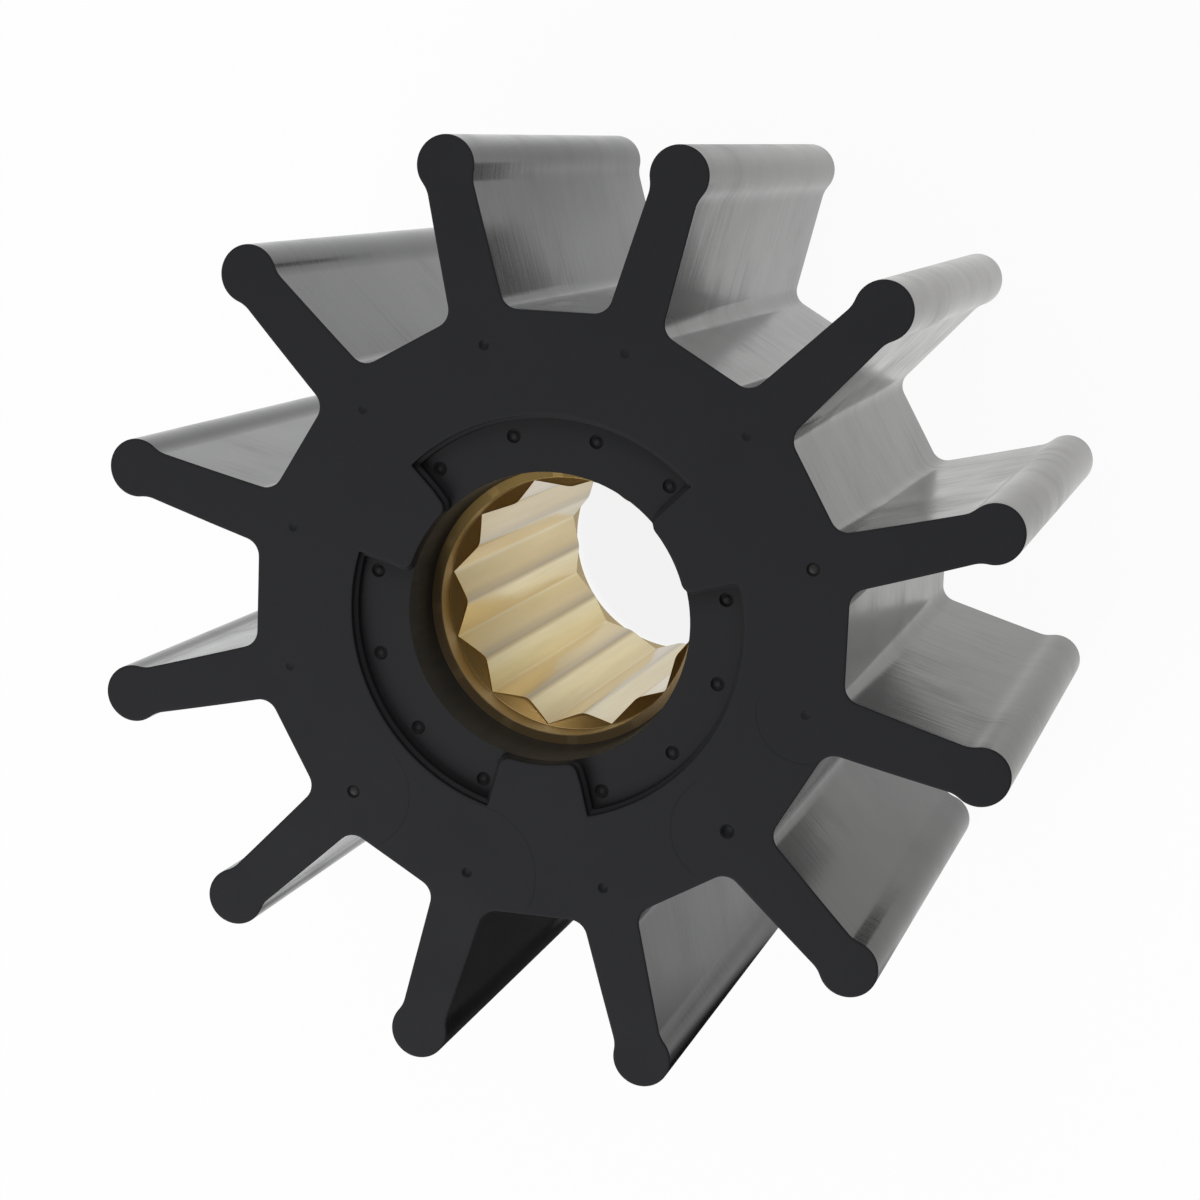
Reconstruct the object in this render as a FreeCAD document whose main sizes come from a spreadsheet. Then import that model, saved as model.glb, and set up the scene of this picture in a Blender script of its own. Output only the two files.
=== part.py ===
import FreeCAD, Part
import math
import os
import Sketcher

# Rubber impeller of a raw water pump, in millimetres.
# The axis is Z. The rear face stands on Z = 0 and the first blade points along +Y.
# It is two pieces: the moulded rubber, and the brass bushing that is moulded into it.

DRIVING_SIZES = (
    ("outer_diameter", 95.0, "over the tips of two opposite blades"),
    ("body_width", 63.0, "from the rear face to the front face"),
    ("blade_count", 12, "blades, and flats of the hub between them"),
    ("hub_across_flats", 59.6, "hub, over two opposite flats"),
    ("blade_root_thickness", 5.75, "blade where it is rooted in the hub"),
    ("blade_root_depth", 2.0, "how far below the hub's flats a blade is rooted"),
    ("blade_taper_angle", 2.0, "degrees by which each side of a blade leans in"),
    ("tip_bead_diameter", 5.8, "round bead along the tip of a blade"),
    ("neck_fillet", 3.0, "hollow between a blade's side and its bead"),
    ("root_fillet", 1.8, "hollow between a blade's side and the hub"),
    ("groove_count", 12, "grooves of the spline"),
    ("spline_minor_diameter", 23.2, "between the crests of two opposite ridges"),
    ("groove_depth", 1.26, "from the ridges' crests to the grooves' roots"),
    ("ridge_crest_angle", 2.4, "degrees of the bore that the crest of a ridge covers"),
    ("counterbore_relief", 0.09, "plain lead-in, deeper than the grooves by this much"),
    ("counterbore_depth", 2.8, "length of the plain lead-in at each end"),
    ("lead_in_angle", 45.0, "degrees between the ridges' end cone and the axis"),
    ("bushing_wall", 2.89, "brass outside the grooves' roots"),
    ("bushing_turn_angle", 5.5, "degrees from the first blade to a groove of the spline"),
    ("bushing_recess", 7.4, "depth of the bushing's end below the face"),
    ("bushing_lip", 1.8, "how far the rubber reaches in over the bushing's end"),
    ("mouth_flare", 0.55, "widening of the rubber bore from the lip to the face"),
    ("pocket_count", 3, "pockets in each face, with a pad between each two"),
    ("pocket_width", 5.35, "from the bore's mouth to the outer wall of a pocket"),
    ("pocket_depth", 1.5, "floor of a pocket below the face"),
    ("ledge_width", 0.4, "step along the outer and end walls of a pocket"),
    ("ledge_depth", 0.75, "step of a pocket below the face"),
    ("pad_angle", 30.0, "degrees that a pad covers, the first from +X"),
    ("pad_corner_fillet", 1.0, "rounded corners of a pad at the bore"),
    ("pocket_pit_count", 4, "pits in the floor of a front pocket"),
    ("pocket_pit_diameter", 1.4, "pit in a front pocket's floor"),
    ("pocket_pit_inset", 1.92, "from a pocket's outer wall to its pits"),
    ("pocket_pit_angle", 26.8, "degrees from one pit in a pocket to the next"),
    ("face_pit_diameter", 1.3, "pit at a blade's root, in the front face"),
    ("face_pit_inset", 2.7, "from the hub's flats in to the pits at the roots"),
    ("pit_depth", 0.6, "depth of every pit"),
)


class Sketching:
    """How a sketch numbers the points of an edge, its own origin and its axes."""

    start, end, centre = range(1, 4)
    origin = (-1, 1)
    x_axis = -1
    y_axis = -2
    upright = 90


UPWARDS = FreeCAD.Vector(0, 0, 1)

document = FreeCAD.newDocument("pump_impeller")
sheet = document.addObject("Spreadsheet::Sheet", "Sizes")
for row, (alias, number, note) in enumerate(DRIVING_SIZES, start=1):
    sheet.set("A%d" % row, alias)
    sheet.set("B%d" % row, str(number))
    sheet.set("C%d" % row, note)
    sheet.setAlias("B%d" % row, alias)
document.recompute()


class Driven:
    """A number together with the expression that ties it to the sheet."""

    def __init__(self, value, text):
        self.value = value
        self.text = text

    def __add__(self, other):
        other = driven(other)
        return Driven(self.value + other.value, "(%s + %s)" % (self.text, other.text))

    def __sub__(self, other):
        other = driven(other)
        return Driven(self.value - other.value, "(%s - %s)" % (self.text, other.text))

    def __mul__(self, other):
        other = driven(other)
        return Driven(self.value * other.value, "(%s * %s)" % (self.text, other.text))

    def __truediv__(self, other):
        other = driven(other)
        return Driven(self.value / other.value, "(%s / %s)" % (self.text, other.text))


def driven(item):
    """A plain number as a driven one."""
    if isinstance(item, Driven):
        return item
    return Driven(item, repr(item))


def size(alias):
    """A driving size of the sheet."""
    return Driven(float(sheet.get(alias)), "Sizes." + alias)


def cosine(degrees):
    return Driven(math.cos(math.radians(degrees.value)), "cos(%s)" % degrees.text)


def tangent(degrees):
    return Driven(math.tan(math.radians(degrees.value)), "tan(%s)" % degrees.text)


# Sizes that follow from the driving ones

body_width = size("body_width")
blade_count = size("blade_count")
hub_apothem = size("hub_across_flats") / 2
tip_bead_radius = size("tip_bead_diameter") / 2
tip_bead_place = size("outer_diameter") / 2 - tip_bead_radius
groove_pitch = driven(360) / size("groove_count")
crest_radius = size("spline_minor_diameter") / 2
groove_radius = crest_radius + size("groove_depth")
counterbore_radius = groove_radius + size("counterbore_relief")
bushing_radius = groove_radius + size("bushing_wall")
bushing_bottom = size("bushing_recess")
bushing_top = body_width - size("bushing_recess")
land_radius = bushing_radius - size("bushing_lip")
mouth_radius = land_radius + size("mouth_flare")
pocket_radius = mouth_radius + size("pocket_width")
pocket_pitch = driven(360) / size("pocket_count")
pocket_start = size("pad_angle")
pocket_middle = (pocket_start + pocket_pitch) / 2
corner_depth = size("pocket_depth") + size("pit_depth")
corner_reach = mouth_radius - size("mouth_flare") * corner_depth / size("bushing_recess")
pocket_pit_place = pocket_radius - size("pocket_pit_inset")
face_pit_place = hub_apothem - size("face_pit_inset")


def new_body(name):
    """An empty body whose label is the name of the piece."""
    body = document.addObject("PartDesign::Body", name)
    body.Label = name
    return body


def origin_feature(body, role):
    """The plane or axis of the body's own origin that has this role."""
    for feature in body.Origin.OriginFeatures:
        if feature.Role == role:
            return feature
    raise ValueError("no origin feature " + role)


def new_sketch(body, name, plane="XY_Plane", height=None):
    """A sketch on a plane of the body's origin, raised by a driven height."""
    sketch = body.newObject("Sketcher::SketchObject", name)
    sketch.AttachmentSupport = [(origin_feature(body, plane), "")]
    sketch.MapMode = "FlatFace"
    if height:
        sketch.setExpression("AttachmentOffset.Base.z", height.text)
    return sketch


def vector(point):
    return FreeCAD.Vector(point[0], point[1], 0)


def polar(radius, degrees):
    """The point at a radius and an angle round the origin."""
    turn = math.radians(degrees)
    return radius * math.cos(turn), radius * math.sin(turn)


def line(sketch, first, second, construction=False):
    """A straight edge between two points."""
    segment = Part.LineSegment(vector(first), vector(second))
    return sketch.addGeometry(segment, construction)


def arc(sketch, centre, radius, first, second):
    """An arc that runs anticlockwise round a centre, from one point to another."""
    begin = math.atan2(first[1] - centre[1], first[0] - centre[0])
    end = math.atan2(second[1] - centre[1], second[0] - centre[0])
    circle = Part.Circle(vector(centre), UPWARDS, radius)
    return sketch.addGeometry(Part.ArcOfCircle(circle, begin, end), False)


def relate(sketch, kind, *items):
    """A constraint without a size."""
    sketch.addConstraint(Sketcher.Constraint(kind, *items))


def measure(sketch, name, amount, kind, *items):
    """A constraint whose size is driven. An angle is given in degrees."""
    value = math.radians(amount.value) if kind == "Angle" else amount.value
    index = sketch.addConstraint(Sketcher.Constraint(kind, *items, value))
    sketch.renameConstraint(index, name)
    sketch.setExpression("Constraints." + name, amount.text)


def close(sketch, edges):
    """Join each edge's end to the next edge's start, all the way round."""
    for index, edge in enumerate(edges):
        following = edges[(index + 1) % len(edges)]
        relate(sketch, "Coincident", edge, Sketching.end, following, Sketching.start)


def ray(sketch, name, radius, degrees):
    """A construction line from the origin with a driven length and angle."""
    end = polar(radius.value, degrees.value)
    spoke = line(sketch, (0, 0), end, construction=True)
    relate(sketch, "Coincident", spoke, Sketching.start, *Sketching.origin)
    measure(sketch, name + "_radius", radius, "Distance", spoke)
    measure(sketch, name + "_angle", degrees, "Angle", spoke)
    return spoke


def half_section(body, name, corners):
    """A closed outline in the XZ plane from driven (radius, height) corners.

    None stands for a corner on the axis or at height 0.
    """
    sketch = new_sketch(body, name, "XZ_Plane")
    points = []
    for radius, height in corners:
        points.append((radius.value if radius else 0, height.value if height else 0))
    edges = []
    for index, point in enumerate(points):
        edges.append(line(sketch, point, points[(index + 1) % len(points)]))
    close(sketch, edges)
    for edge, (radius, height) in zip(edges, corners):
        corner = (edge, Sketching.start)
        if radius:
            measure(sketch, "radius_%d" % edge, radius, "DistanceX", *Sketching.origin, *corner)
        else:
            relate(sketch, "PointOnObject", *corner, Sketching.y_axis)
        if height:
            measure(sketch, "height_%d" % edge, height, "DistanceY", *Sketching.origin, *corner)
        else:
            relate(sketch, "PointOnObject", *corner, Sketching.x_axis)
    return sketch


def pad(body, name, sketch, length):
    """Raise a sketch by a driven length."""
    feature = body.newObject("PartDesign::Pad", name)
    feature.Profile = sketch
    feature.setExpression("Length", length.text)
    return feature


def pocket(body, name, sketch, depth, from_rear=False):
    """Cut a sketch downwards, or upwards where it lies on the rear face."""
    feature = body.newObject("PartDesign::Pocket", name)
    feature.Profile = sketch
    feature.Reversed = from_rear
    feature.setExpression("Length", depth.text)
    return feature


def turn(body, kind, name, sketch):
    """Turn a half section once round the Z axis, as a solid or as a cut."""
    feature = body.newObject("PartDesign::" + kind, name)
    feature.Profile = sketch
    feature.ReferenceAxis = (origin_feature(body, "Z_Axis"), [""])
    feature.Angle = 360
    return feature


def repeat(body, name, features, count):
    """Repeat features evenly round the Z axis."""
    pattern = body.newObject("PartDesign::PolarPattern", name)
    pattern.Originals = features
    pattern.Axis = (origin_feature(body, "Z_Axis"), [""])
    pattern.Angle = 360
    pattern.setExpression("Occurrences", count.text)
    body.Tip = pattern
    document.recompute()
    return pattern


# Moulded rubber: hub, twelve blades, bore and the marks of the mould

def hub_sketch(body):
    """A regular outline with one flat between each two blades."""
    sketch = new_sketch(body, "hub_outline")
    corner_radius = hub_apothem / cosine(driven(180) / blade_count)
    flats = round(blade_count.value)
    corners = [polar(corner_radius.value, Sketching.upright + 360 / flats * index)
               for index in range(flats)]
    edges = []
    for index, corner in enumerate(corners):
        edges.append(line(sketch, corner, corners[(index + 1) % flats]))
    close(sketch, edges)
    circle = Part.Circle(vector((0, 0)), UPWARDS, corner_radius.value)
    guide = sketch.addGeometry(circle, True)
    relate(sketch, "Coincident", guide, Sketching.centre, *Sketching.origin)
    relate(sketch, "PointOnObject", edges[0], Sketching.start, Sketching.y_axis)
    measure(sketch, "corner_radius", corner_radius, "Radius", guide)
    for edge in edges:
        relate(sketch, "PointOnObject", edge, Sketching.start, guide)
    for edge in edges[1:]:
        relate(sketch, "Equal", edges[0], edge)
    return sketch


def blade_sketch(body):
    """One blade along +Y: leaning sides, hollow necks and a round bead at the tip."""
    sketch = new_sketch(body, "blade_outline")
    root_height = hub_apothem - size("blade_root_depth")
    root_thickness = size("blade_root_thickness")
    side_angle = driven(Sketching.upright) + size("blade_taper_angle")
    neck = size("neck_fillet")

    # The neck's centre lies beside the blade's side and outside the bead
    half_root = root_thickness.value / 2
    lean = math.radians(size("blade_taper_angle").value)
    along = (-math.sin(lean), math.cos(lean))
    outward = (math.cos(lean), math.sin(lean))
    bead = (0, tip_bead_place.value)
    reach = tip_bead_radius.value + neck.value
    start = (half_root + outward[0] * neck.value, root_height.value + outward[1] * neck.value)
    gap = (start[0] - bead[0], start[1] - bead[1])
    middle = gap[0] * along[0] + gap[1] * along[1]
    excess = gap[0] ** 2 + gap[1] ** 2 - reach ** 2
    travel = -middle - math.sqrt(middle ** 2 - excess)
    hollow = (start[0] + along[0] * travel, start[1] + along[1] * travel)
    foot = (hollow[0] - outward[0] * neck.value, hollow[1] - outward[1] * neck.value)
    share = tip_bead_radius.value / reach
    joint = (hollow[0] * share, bead[1] + (hollow[1] - bead[1]) * share)

    def mirrored(point):
        return -point[0], point[1]

    right_root = (half_root, root_height.value)
    base = line(sketch, mirrored(right_root), right_root)
    right_side = line(sketch, right_root, foot)
    right_neck = arc(sketch, hollow, neck.value, joint, foot)
    tip = arc(sketch, bead, tip_bead_radius.value, joint, mirrored(joint))
    left_neck = arc(sketch, mirrored(hollow), neck.value, mirrored(foot), mirrored(joint))
    left_side = line(sketch, mirrored(foot), mirrored(right_root))

    relate(sketch, "Coincident", base, Sketching.end, right_side, Sketching.start)
    relate(sketch, "Coincident", left_side, Sketching.end, base, Sketching.start)
    relate(sketch, "Tangent", right_side, Sketching.end, right_neck, Sketching.end)
    relate(sketch, "Tangent", right_neck, Sketching.start, tip, Sketching.start)
    relate(sketch, "Tangent", tip, Sketching.end, left_neck, Sketching.end)
    relate(sketch, "Tangent", left_neck, Sketching.start, left_side, Sketching.start)
    relate(sketch, "Symmetric", base, Sketching.start, base, Sketching.end, Sketching.y_axis)
    relate(sketch, "Symmetric", right_side, Sketching.end, left_side, Sketching.start, Sketching.y_axis)
    relate(sketch, "PointOnObject", tip, Sketching.centre, Sketching.y_axis)
    left_corner = (base, Sketching.start)
    measure(sketch, "root_thickness", root_thickness, "DistanceX",
            *left_corner, base, Sketching.end)
    measure(sketch, "root_height", root_height, "DistanceY", *Sketching.origin, *left_corner)
    measure(sketch, "side_angle", side_angle, "Angle", right_side)
    measure(sketch, "neck_radius", neck, "Radius", right_neck)
    measure(sketch, "bead_radius", tip_bead_radius, "Radius", tip)
    measure(sketch, "bead_place", tip_bead_place, "DistanceY", *Sketching.origin, tip, Sketching.centre)
    return sketch


def root_edges(shape):
    """The upright edges where the blades' sides meet the hub's flats."""
    limit = (hub_apothem.value + tip_bead_place.value) / 2
    names = []
    for number, edge in enumerate(shape.Edges, start=1):
        first, last = edge.Vertexes[0].Point, edge.Vertexes[-1].Point
        upright = abs(first.z - last.z) > body_width.value / 2
        if upright and math.hypot(first.x, first.y) < limit:
            names.append("Edge%d" % number)
    return names


def end_wall(sketch, name, degrees, inset, side):
    """An end wall of a pocket, with the round corner of the pad and a spoke to the axis.

    Side is 1 where the pocket lies anticlockwise of the wall and -1 where it lies clockwise.
    The corner would be round up to a circle that lies just inside the bore.
    """
    fillet = size("pad_corner_fillet")
    depth = inset.value if inset else 0
    beside = depth - fillet.value
    reach = corner_reach.value + fillet.value
    along = math.sqrt(reach ** 2 - beside ** 2)
    bearing = math.radians(degrees.value)

    def place(forward, sideways):
        return (math.cos(bearing) * forward - math.sin(bearing) * sideways * side,
                math.sin(bearing) * forward + math.cos(bearing) * sideways * side)

    centre = place(along, beside)
    foot = place(along, depth)
    share = corner_reach.value / reach
    inner = (centre[0] * share, centre[1] * share)
    far = place(math.sqrt(pocket_radius.value ** 2 - depth ** 2) - depth, depth)

    spoke = line(sketch, (0, 0), inner)
    wall = line(sketch, foot, far)
    if side > 0:
        corner = arc(sketch, centre, fillet.value, foot, inner)
        at_foot, at_inner = Sketching.start, Sketching.end
    else:
        corner = arc(sketch, centre, fillet.value, inner, foot)
        at_foot, at_inner = Sketching.end, Sketching.start
    relate(sketch, "Coincident", spoke, Sketching.start, *Sketching.origin)
    relate(sketch, "Coincident", spoke, Sketching.end, corner, at_inner)
    relate(sketch, "Tangent", corner, at_foot, wall, Sketching.start)
    relate(sketch, "PointOnObject", corner, Sketching.centre, spoke)
    measure(sketch, name + "_reach", corner_reach, "Distance", spoke)
    measure(sketch, name + "_corner", fillet, "Radius", corner)
    measure(sketch, name + "_angle", degrees, "Angle", wall)
    if inset:
        measure(sketch, name + "_inset", inset, "Distance", *Sketching.origin, wall)
    else:
        relate(sketch, "PointOnObject", *Sketching.origin, wall)
    return wall, far


def sector_sketch(body, name, height, inset=None):
    """A pocket's outline: two end walls and an outer wall, drawn in by an inset."""
    sketch = new_sketch(body, name, "XY_Plane", height)
    radius = pocket_radius - inset if inset else pocket_radius
    first_wall, first_corner = end_wall(sketch, "first", pocket_start, inset, 1)
    last_wall, last_corner = end_wall(sketch, "last", pocket_pitch, inset, -1)
    outer_wall = arc(sketch, (0, 0), radius.value, first_corner, last_corner)
    relate(sketch, "Coincident", first_wall, Sketching.end, outer_wall, Sketching.start)
    relate(sketch, "Coincident", last_wall, Sketching.end, outer_wall, Sketching.end)
    relate(sketch, "Coincident", outer_wall, Sketching.centre, *Sketching.origin)
    measure(sketch, "outer_radius", radius, "Radius", outer_wall)
    return sketch


def pit_sketch(body, name, circle_radius, pit_diameter, angles):
    """Round pits on a circle, one at each driven angle, drawn on the front face."""
    sketch = new_sketch(body, name, "XY_Plane", body_width)
    for index, degrees in enumerate(angles):
        spoke = ray(sketch, "pit_%d" % index, circle_radius, degrees)
        centre = polar(circle_radius.value, degrees.value)
        radius = pit_diameter.value / 2
        pit = sketch.addGeometry(Part.Circle(vector(centre), UPWARDS, radius), False)
        relate(sketch, "Coincident", pit, Sketching.centre, spoke, Sketching.end)
        measure(sketch, "pit_diameter_%d" % index, pit_diameter, "Diameter", pit)
    return sketch


def stepped_pocket(body, side, height):
    """The two cuts of one pocket in a face. A height of None is the rear face."""
    from_rear = height is None
    step = sector_sketch(body, side + "_step_outline", height)
    step_cut = pocket(body, side + "_step", step, size("ledge_depth"), from_rear)
    floor = sector_sketch(body, side + "_floor_outline", height, size("ledge_width"))
    floor_cut = pocket(body, side + "_floor", floor, size("pocket_depth"), from_rear)
    return [step_cut, floor_cut]


def pocket_pits(body):
    """The pits in the floor of one front pocket, pressed by pins of the mould."""
    pit_count = round(size("pocket_pit_count").value)
    angles = []
    for index in range(pit_count):
        place = index - (pit_count - 1) / 2
        angles.append(pocket_middle + size("pocket_pit_angle") * place)
    pits = pit_sketch(body, "pocket_pit_outlines", pocket_pit_place,
                      size("pocket_pit_diameter"), angles)
    return pocket(body, "pocket_pits", pits, size("pocket_depth") + size("pit_depth"))


def face_pit(body):
    """The pit at the root of one blade, in the front face."""
    mark = pit_sketch(body, "face_pit_outline", face_pit_place,
                      size("face_pit_diameter"), [driven(Sketching.upright)])
    return pocket(body, "face_pit", mark, size("pit_depth"))


def make_rubber():
    """The moulded rubber, in one piece from the bore to the blades' beads."""
    body = new_body("impeller_rubber")
    hub = pad(body, "hub", hub_sketch(body), body_width)
    blade = pad(body, "blade", blade_sketch(body), body_width)
    blades = repeat(body, "blades", [blade], blade_count)

    fillet = body.newObject("PartDesign::Fillet", "root_fillets")
    fillet.Base = (blades, root_edges(blades.Shape))
    fillet.setExpression("Radius", size("root_fillet").text)

    bore = half_section(body, "bore_section", (
        (None, None),
        (mouth_radius, None),
        (land_radius, bushing_bottom),
        (bushing_radius, bushing_bottom),
        (bushing_radius, bushing_top),
        (land_radius, bushing_top),
        (mouth_radius, body_width),
        (None, body_width),
    ))
    turn(body, "Groove", "bore", bore)
    document.recompute()
    front_pocket = stepped_pocket(body, "front", body_width) + [pocket_pits(body)]
    repeat(body, "front_pockets", front_pocket, size("pocket_count"))
    repeat(body, "face_pits", [face_pit(body)], blade_count)
    repeat(body, "rear_pockets", stepped_pocket(body, "rear", None), size("pocket_count"))
    return body


# Brass bushing: a turned sleeve with a broached spline and a lead-in at each end

def groove_sketch(body):
    """One V groove along +Y, whose flanks end on the crests of the ridges."""
    sketch = new_sketch(body, "groove_outline", "XY_Plane", bushing_bottom)
    base_height = crest_radius * cosine(groove_pitch / 2)
    edge_angle = driven(Sketching.upright) - (groove_pitch - size("ridge_crest_angle")) / 2
    edge = polar(crest_radius.value, edge_angle.value)
    spread = edge[0] / (groove_radius.value - edge[1])
    half_base = (groove_radius.value - base_height.value) * spread

    root = (0, groove_radius.value)
    right = (half_base, base_height.value)
    left = (-half_base, base_height.value)
    edges = [line(sketch, root, left), line(sketch, left, right), line(sketch, right, root)]
    close(sketch, edges)
    crest_edge = ray(sketch, "crest_edge", crest_radius, edge_angle)
    relate(sketch, "PointOnObject", crest_edge, Sketching.end, edges[2])
    relate(sketch, "PointOnObject", edges[0], Sketching.start, Sketching.y_axis)
    relate(sketch, "Symmetric", edges[1], Sketching.start, edges[1], Sketching.end, Sketching.y_axis)
    for name, height, edge in (("root", groove_radius, edges[0]), ("base", base_height, edges[1])):
        measure(sketch, name + "_height", height, "DistanceY",
                *Sketching.origin, edge, Sketching.start)
    return sketch


def lead_in(body, name, end, inward):
    """Counterbore and cone at one end. Inward is 1 from the bottom and -1 from the top."""
    shoulder = end + size("counterbore_depth") * inward
    point = shoulder + counterbore_radius / tangent(size("lead_in_angle")) * inward
    section = half_section(body, name + "_section", (
        (None, end),
        (counterbore_radius, end),
        (counterbore_radius, shoulder),
        (None, point),
    ))
    return turn(body, "Groove", name, section)


def make_bushing():
    """The brass bushing, seated in the rubber from one land to the other."""
    body = new_body("splined_bushing")
    blank = half_section(body, "blank_section", (
        (crest_radius, bushing_bottom),
        (bushing_radius, bushing_bottom),
        (bushing_radius, bushing_top),
        (crest_radius, bushing_top),
    ))
    turn(body, "Revolution", "blank", blank)
    document.recompute()
    groove = pocket(body, "groove", groove_sketch(body), bushing_top - bushing_bottom, True)
    repeat(body, "spline", [groove], size("groove_count"))
    lead_in(body, "rear_lead_in", bushing_bottom, 1)
    lead_in(body, "front_lead_in", bushing_top, -1)
    turned = FreeCAD.Rotation(UPWARDS, size("bushing_turn_angle").value)
    body.Placement = FreeCAD.Placement(FreeCAD.Vector(), turned)
    body.setExpression("Placement.Rotation.Angle", size("bushing_turn_angle").text)
    document.recompute()
    return body


pieces = [make_rubber(), make_bushing()]
document.recompute()

for item in document.Objects:
    faults = [state for state in item.State if state in ("Invalid", "Error")]
    if faults:
        raise RuntimeError("%s is %s" % (item.Name, ", ".join(faults)))

os.makedirs("parts", exist_ok=True)
for piece in pieces:
    shape = piece.Shape
    if shape.isNull() or not shape.isValid() or len(shape.Solids) != 1:
        raise RuntimeError(piece.Label + " is not one valid solid")
    box = shape.BoundBox
    print("%s: %.1f cubic mm, %.2f x %.2f x %.2f mm, from height %.2f" % (
        piece.Label, shape.Volume, box.XLength, box.YLength, box.ZLength, box.ZMin))
    shape.exportStep("parts/%s.step" % piece.Label)
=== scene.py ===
# %% [markdown]
# # Rubber pump impeller
# A raw water pump turns this part inside a liner that isn't quite round, so its rubber blades bend
# and sweep the water along. It is two pieces: black rubber, moulded in one go, and a brass bushing
# in its bore that slides onto a splined shaft.
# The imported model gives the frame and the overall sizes. Both pieces are built again here with
# finer curves and softened edges, because a moulded edge is never quite sharp and it is the thin
# bright line along it that tells the eye what it is made of.

import math
from collections import Counter

import bmesh
import bpy
from mathutils import Euler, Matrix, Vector, noise
from mathutils.geometry import tessellate_polygon


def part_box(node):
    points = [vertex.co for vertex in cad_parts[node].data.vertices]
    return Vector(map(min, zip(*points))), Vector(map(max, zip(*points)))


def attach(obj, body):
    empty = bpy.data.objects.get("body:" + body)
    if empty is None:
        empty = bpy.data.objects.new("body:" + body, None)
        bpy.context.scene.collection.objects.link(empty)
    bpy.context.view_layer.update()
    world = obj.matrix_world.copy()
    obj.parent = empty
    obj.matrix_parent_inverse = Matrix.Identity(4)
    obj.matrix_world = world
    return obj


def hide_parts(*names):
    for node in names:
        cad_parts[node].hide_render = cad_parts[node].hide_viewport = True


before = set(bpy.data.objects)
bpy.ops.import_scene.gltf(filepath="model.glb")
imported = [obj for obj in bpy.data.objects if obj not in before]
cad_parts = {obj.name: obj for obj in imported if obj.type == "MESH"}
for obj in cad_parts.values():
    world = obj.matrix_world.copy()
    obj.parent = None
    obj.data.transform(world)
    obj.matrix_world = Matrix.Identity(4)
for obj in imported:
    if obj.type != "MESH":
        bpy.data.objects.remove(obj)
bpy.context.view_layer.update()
rubber_low, rubber_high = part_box("impeller_rubber")
brass_low, brass_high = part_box("splined_bushing")
print("Rubber", [round(side, 4) for side in rubber_high - rubber_low])
print("Brass", [round(side, 4) for side in brass_high - brass_low])

# %% [markdown]
# ## Sizes
# The outer sizes come from the frame. The others are the sizes of the construction, in metres.
# A last set holds the small radii that only the looks need. The bore differs a little from the
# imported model: the photograph's view down it ends in brass and not in rubber, so the bushing's
# rear end reaches nearer to the rear face here, and the rubber's rear mouth flares more.

# %% Sizes of the blades and the hub
MM = 0.001
WIDTH = rubber_high.z
TIP_RADIUS = rubber_high.y
BLADES = 12
BLADE_PITCH = math.tau / BLADES
HUB_APOTHEM = 29.8 * MM
BLADE_ROOT_HALF = 5.75 * MM / 2
BLADE_ROOT_HEIGHT = HUB_APOTHEM - 2.0 * MM
BLADE_TAPER = math.radians(2.0)
BEAD_RADIUS = 5.8 * MM / 2
NECK_FILLET = 3.0 * MM
ROOT_FILLET = 1.8 * MM
print("Tips at %.2f mm, %d blades" % (TIP_RADIUS / MM, BLADES))

# %% Sizes of the bushing
GROOVES = 12
GROOVE_PITCH = math.tau / GROOVES
CREST_RADIUS = 23.2 * MM / 2
GROOVE_RADIUS = CREST_RADIUS + 1.26 * MM
RIDGE_CREST_ANGLE = math.radians(2.4)
COUNTERBORE_RADIUS = GROOVE_RADIUS + 0.09 * MM
COUNTERBORE_DEPTH = 2.8 * MM
BUSHING_RADIUS = GROOVE_RADIUS + 2.89 * MM
BUSHING_TURN = math.radians(5.5)
REAR_REACH = 1.9 * MM
BUSHING_BOTTOM = brass_low.z - REAR_REACH
BUSHING_TOP = brass_high.z
print("Bushing from %.2f to %.2f mm" % (BUSHING_BOTTOM / MM, BUSHING_TOP / MM))

# %% Sizes of the rubber's mouths, the pockets and the pits
LAND_RADIUS = BUSHING_RADIUS - 1.8 * MM
MOUTH_RADIUS = LAND_RADIUS + 0.55 * MM
REAR_MOUTH_RADIUS = LAND_RADIUS + 0.9 * MM
POCKETS = 3
POCKET_PITCH = math.tau / POCKETS
POCKET_RADIUS = MOUTH_RADIUS + 5.35 * MM
POCKET_DEPTH = 1.5 * MM
LEDGE_WIDTH = 0.4 * MM
LEDGE_TOP = 0.6 * MM
LEDGE_DEPTH = 0.8 * MM
PAD_ANGLE = math.radians(30.0)
PAD_CORNER = 1.0 * MM
POCKET_CORNER = 0.15 * MM
POCKET_PITS = 4
POCKET_PIT_ANGLE = math.radians(26.8)
POCKET_PIT_PLACE = POCKET_RADIUS - 1.92 * MM
POCKET_PIT_RADIUS = 0.75 * MM
FACE_PIT_PLACE = HUB_APOTHEM - 2.7 * MM
print("Mouth of %.2f mm, pockets out to %.2f mm" % (MOUTH_RADIUS / MM, POCKET_RADIUS / MM))

# %% Small radii that soften the edges
EDGE = 0.12 * MM
POCKET_EDGE = 0.1 * MM
LEVEL_RIM = 0.25 * MM
BRASS_EDGE = 0.1 * MM
EDGE_STEPS = 4
SHARP_ANGLE = math.radians(35)
print("Edges of the rubber rounded by %.2f mm" % (EDGE / MM))

# %% [markdown]
# ## Lofting one outline through many levels
# Both pieces are prisms with small changes at their ends, so one way of building serves them all:
# an outline is a list of points with the direction that faces out of the material at each, a ring
# is that outline drawn in by some amount at some height, and neighbouring rings are joined by
# quads. Drawing an outline in along its own normals, a little more at each level, rounds an edge
# in the mesh itself, with no modifier that could fail at a tight corner.

# %% Points and normals along a line or an arc
def turned(point, angle):
    """A point or direction of the plan, turned about the axis."""
    cosine, sine = math.cos(angle), math.sin(angle)
    return Vector((point[0] * cosine - point[1] * sine, point[0] * sine + point[1] * cosine))


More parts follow.
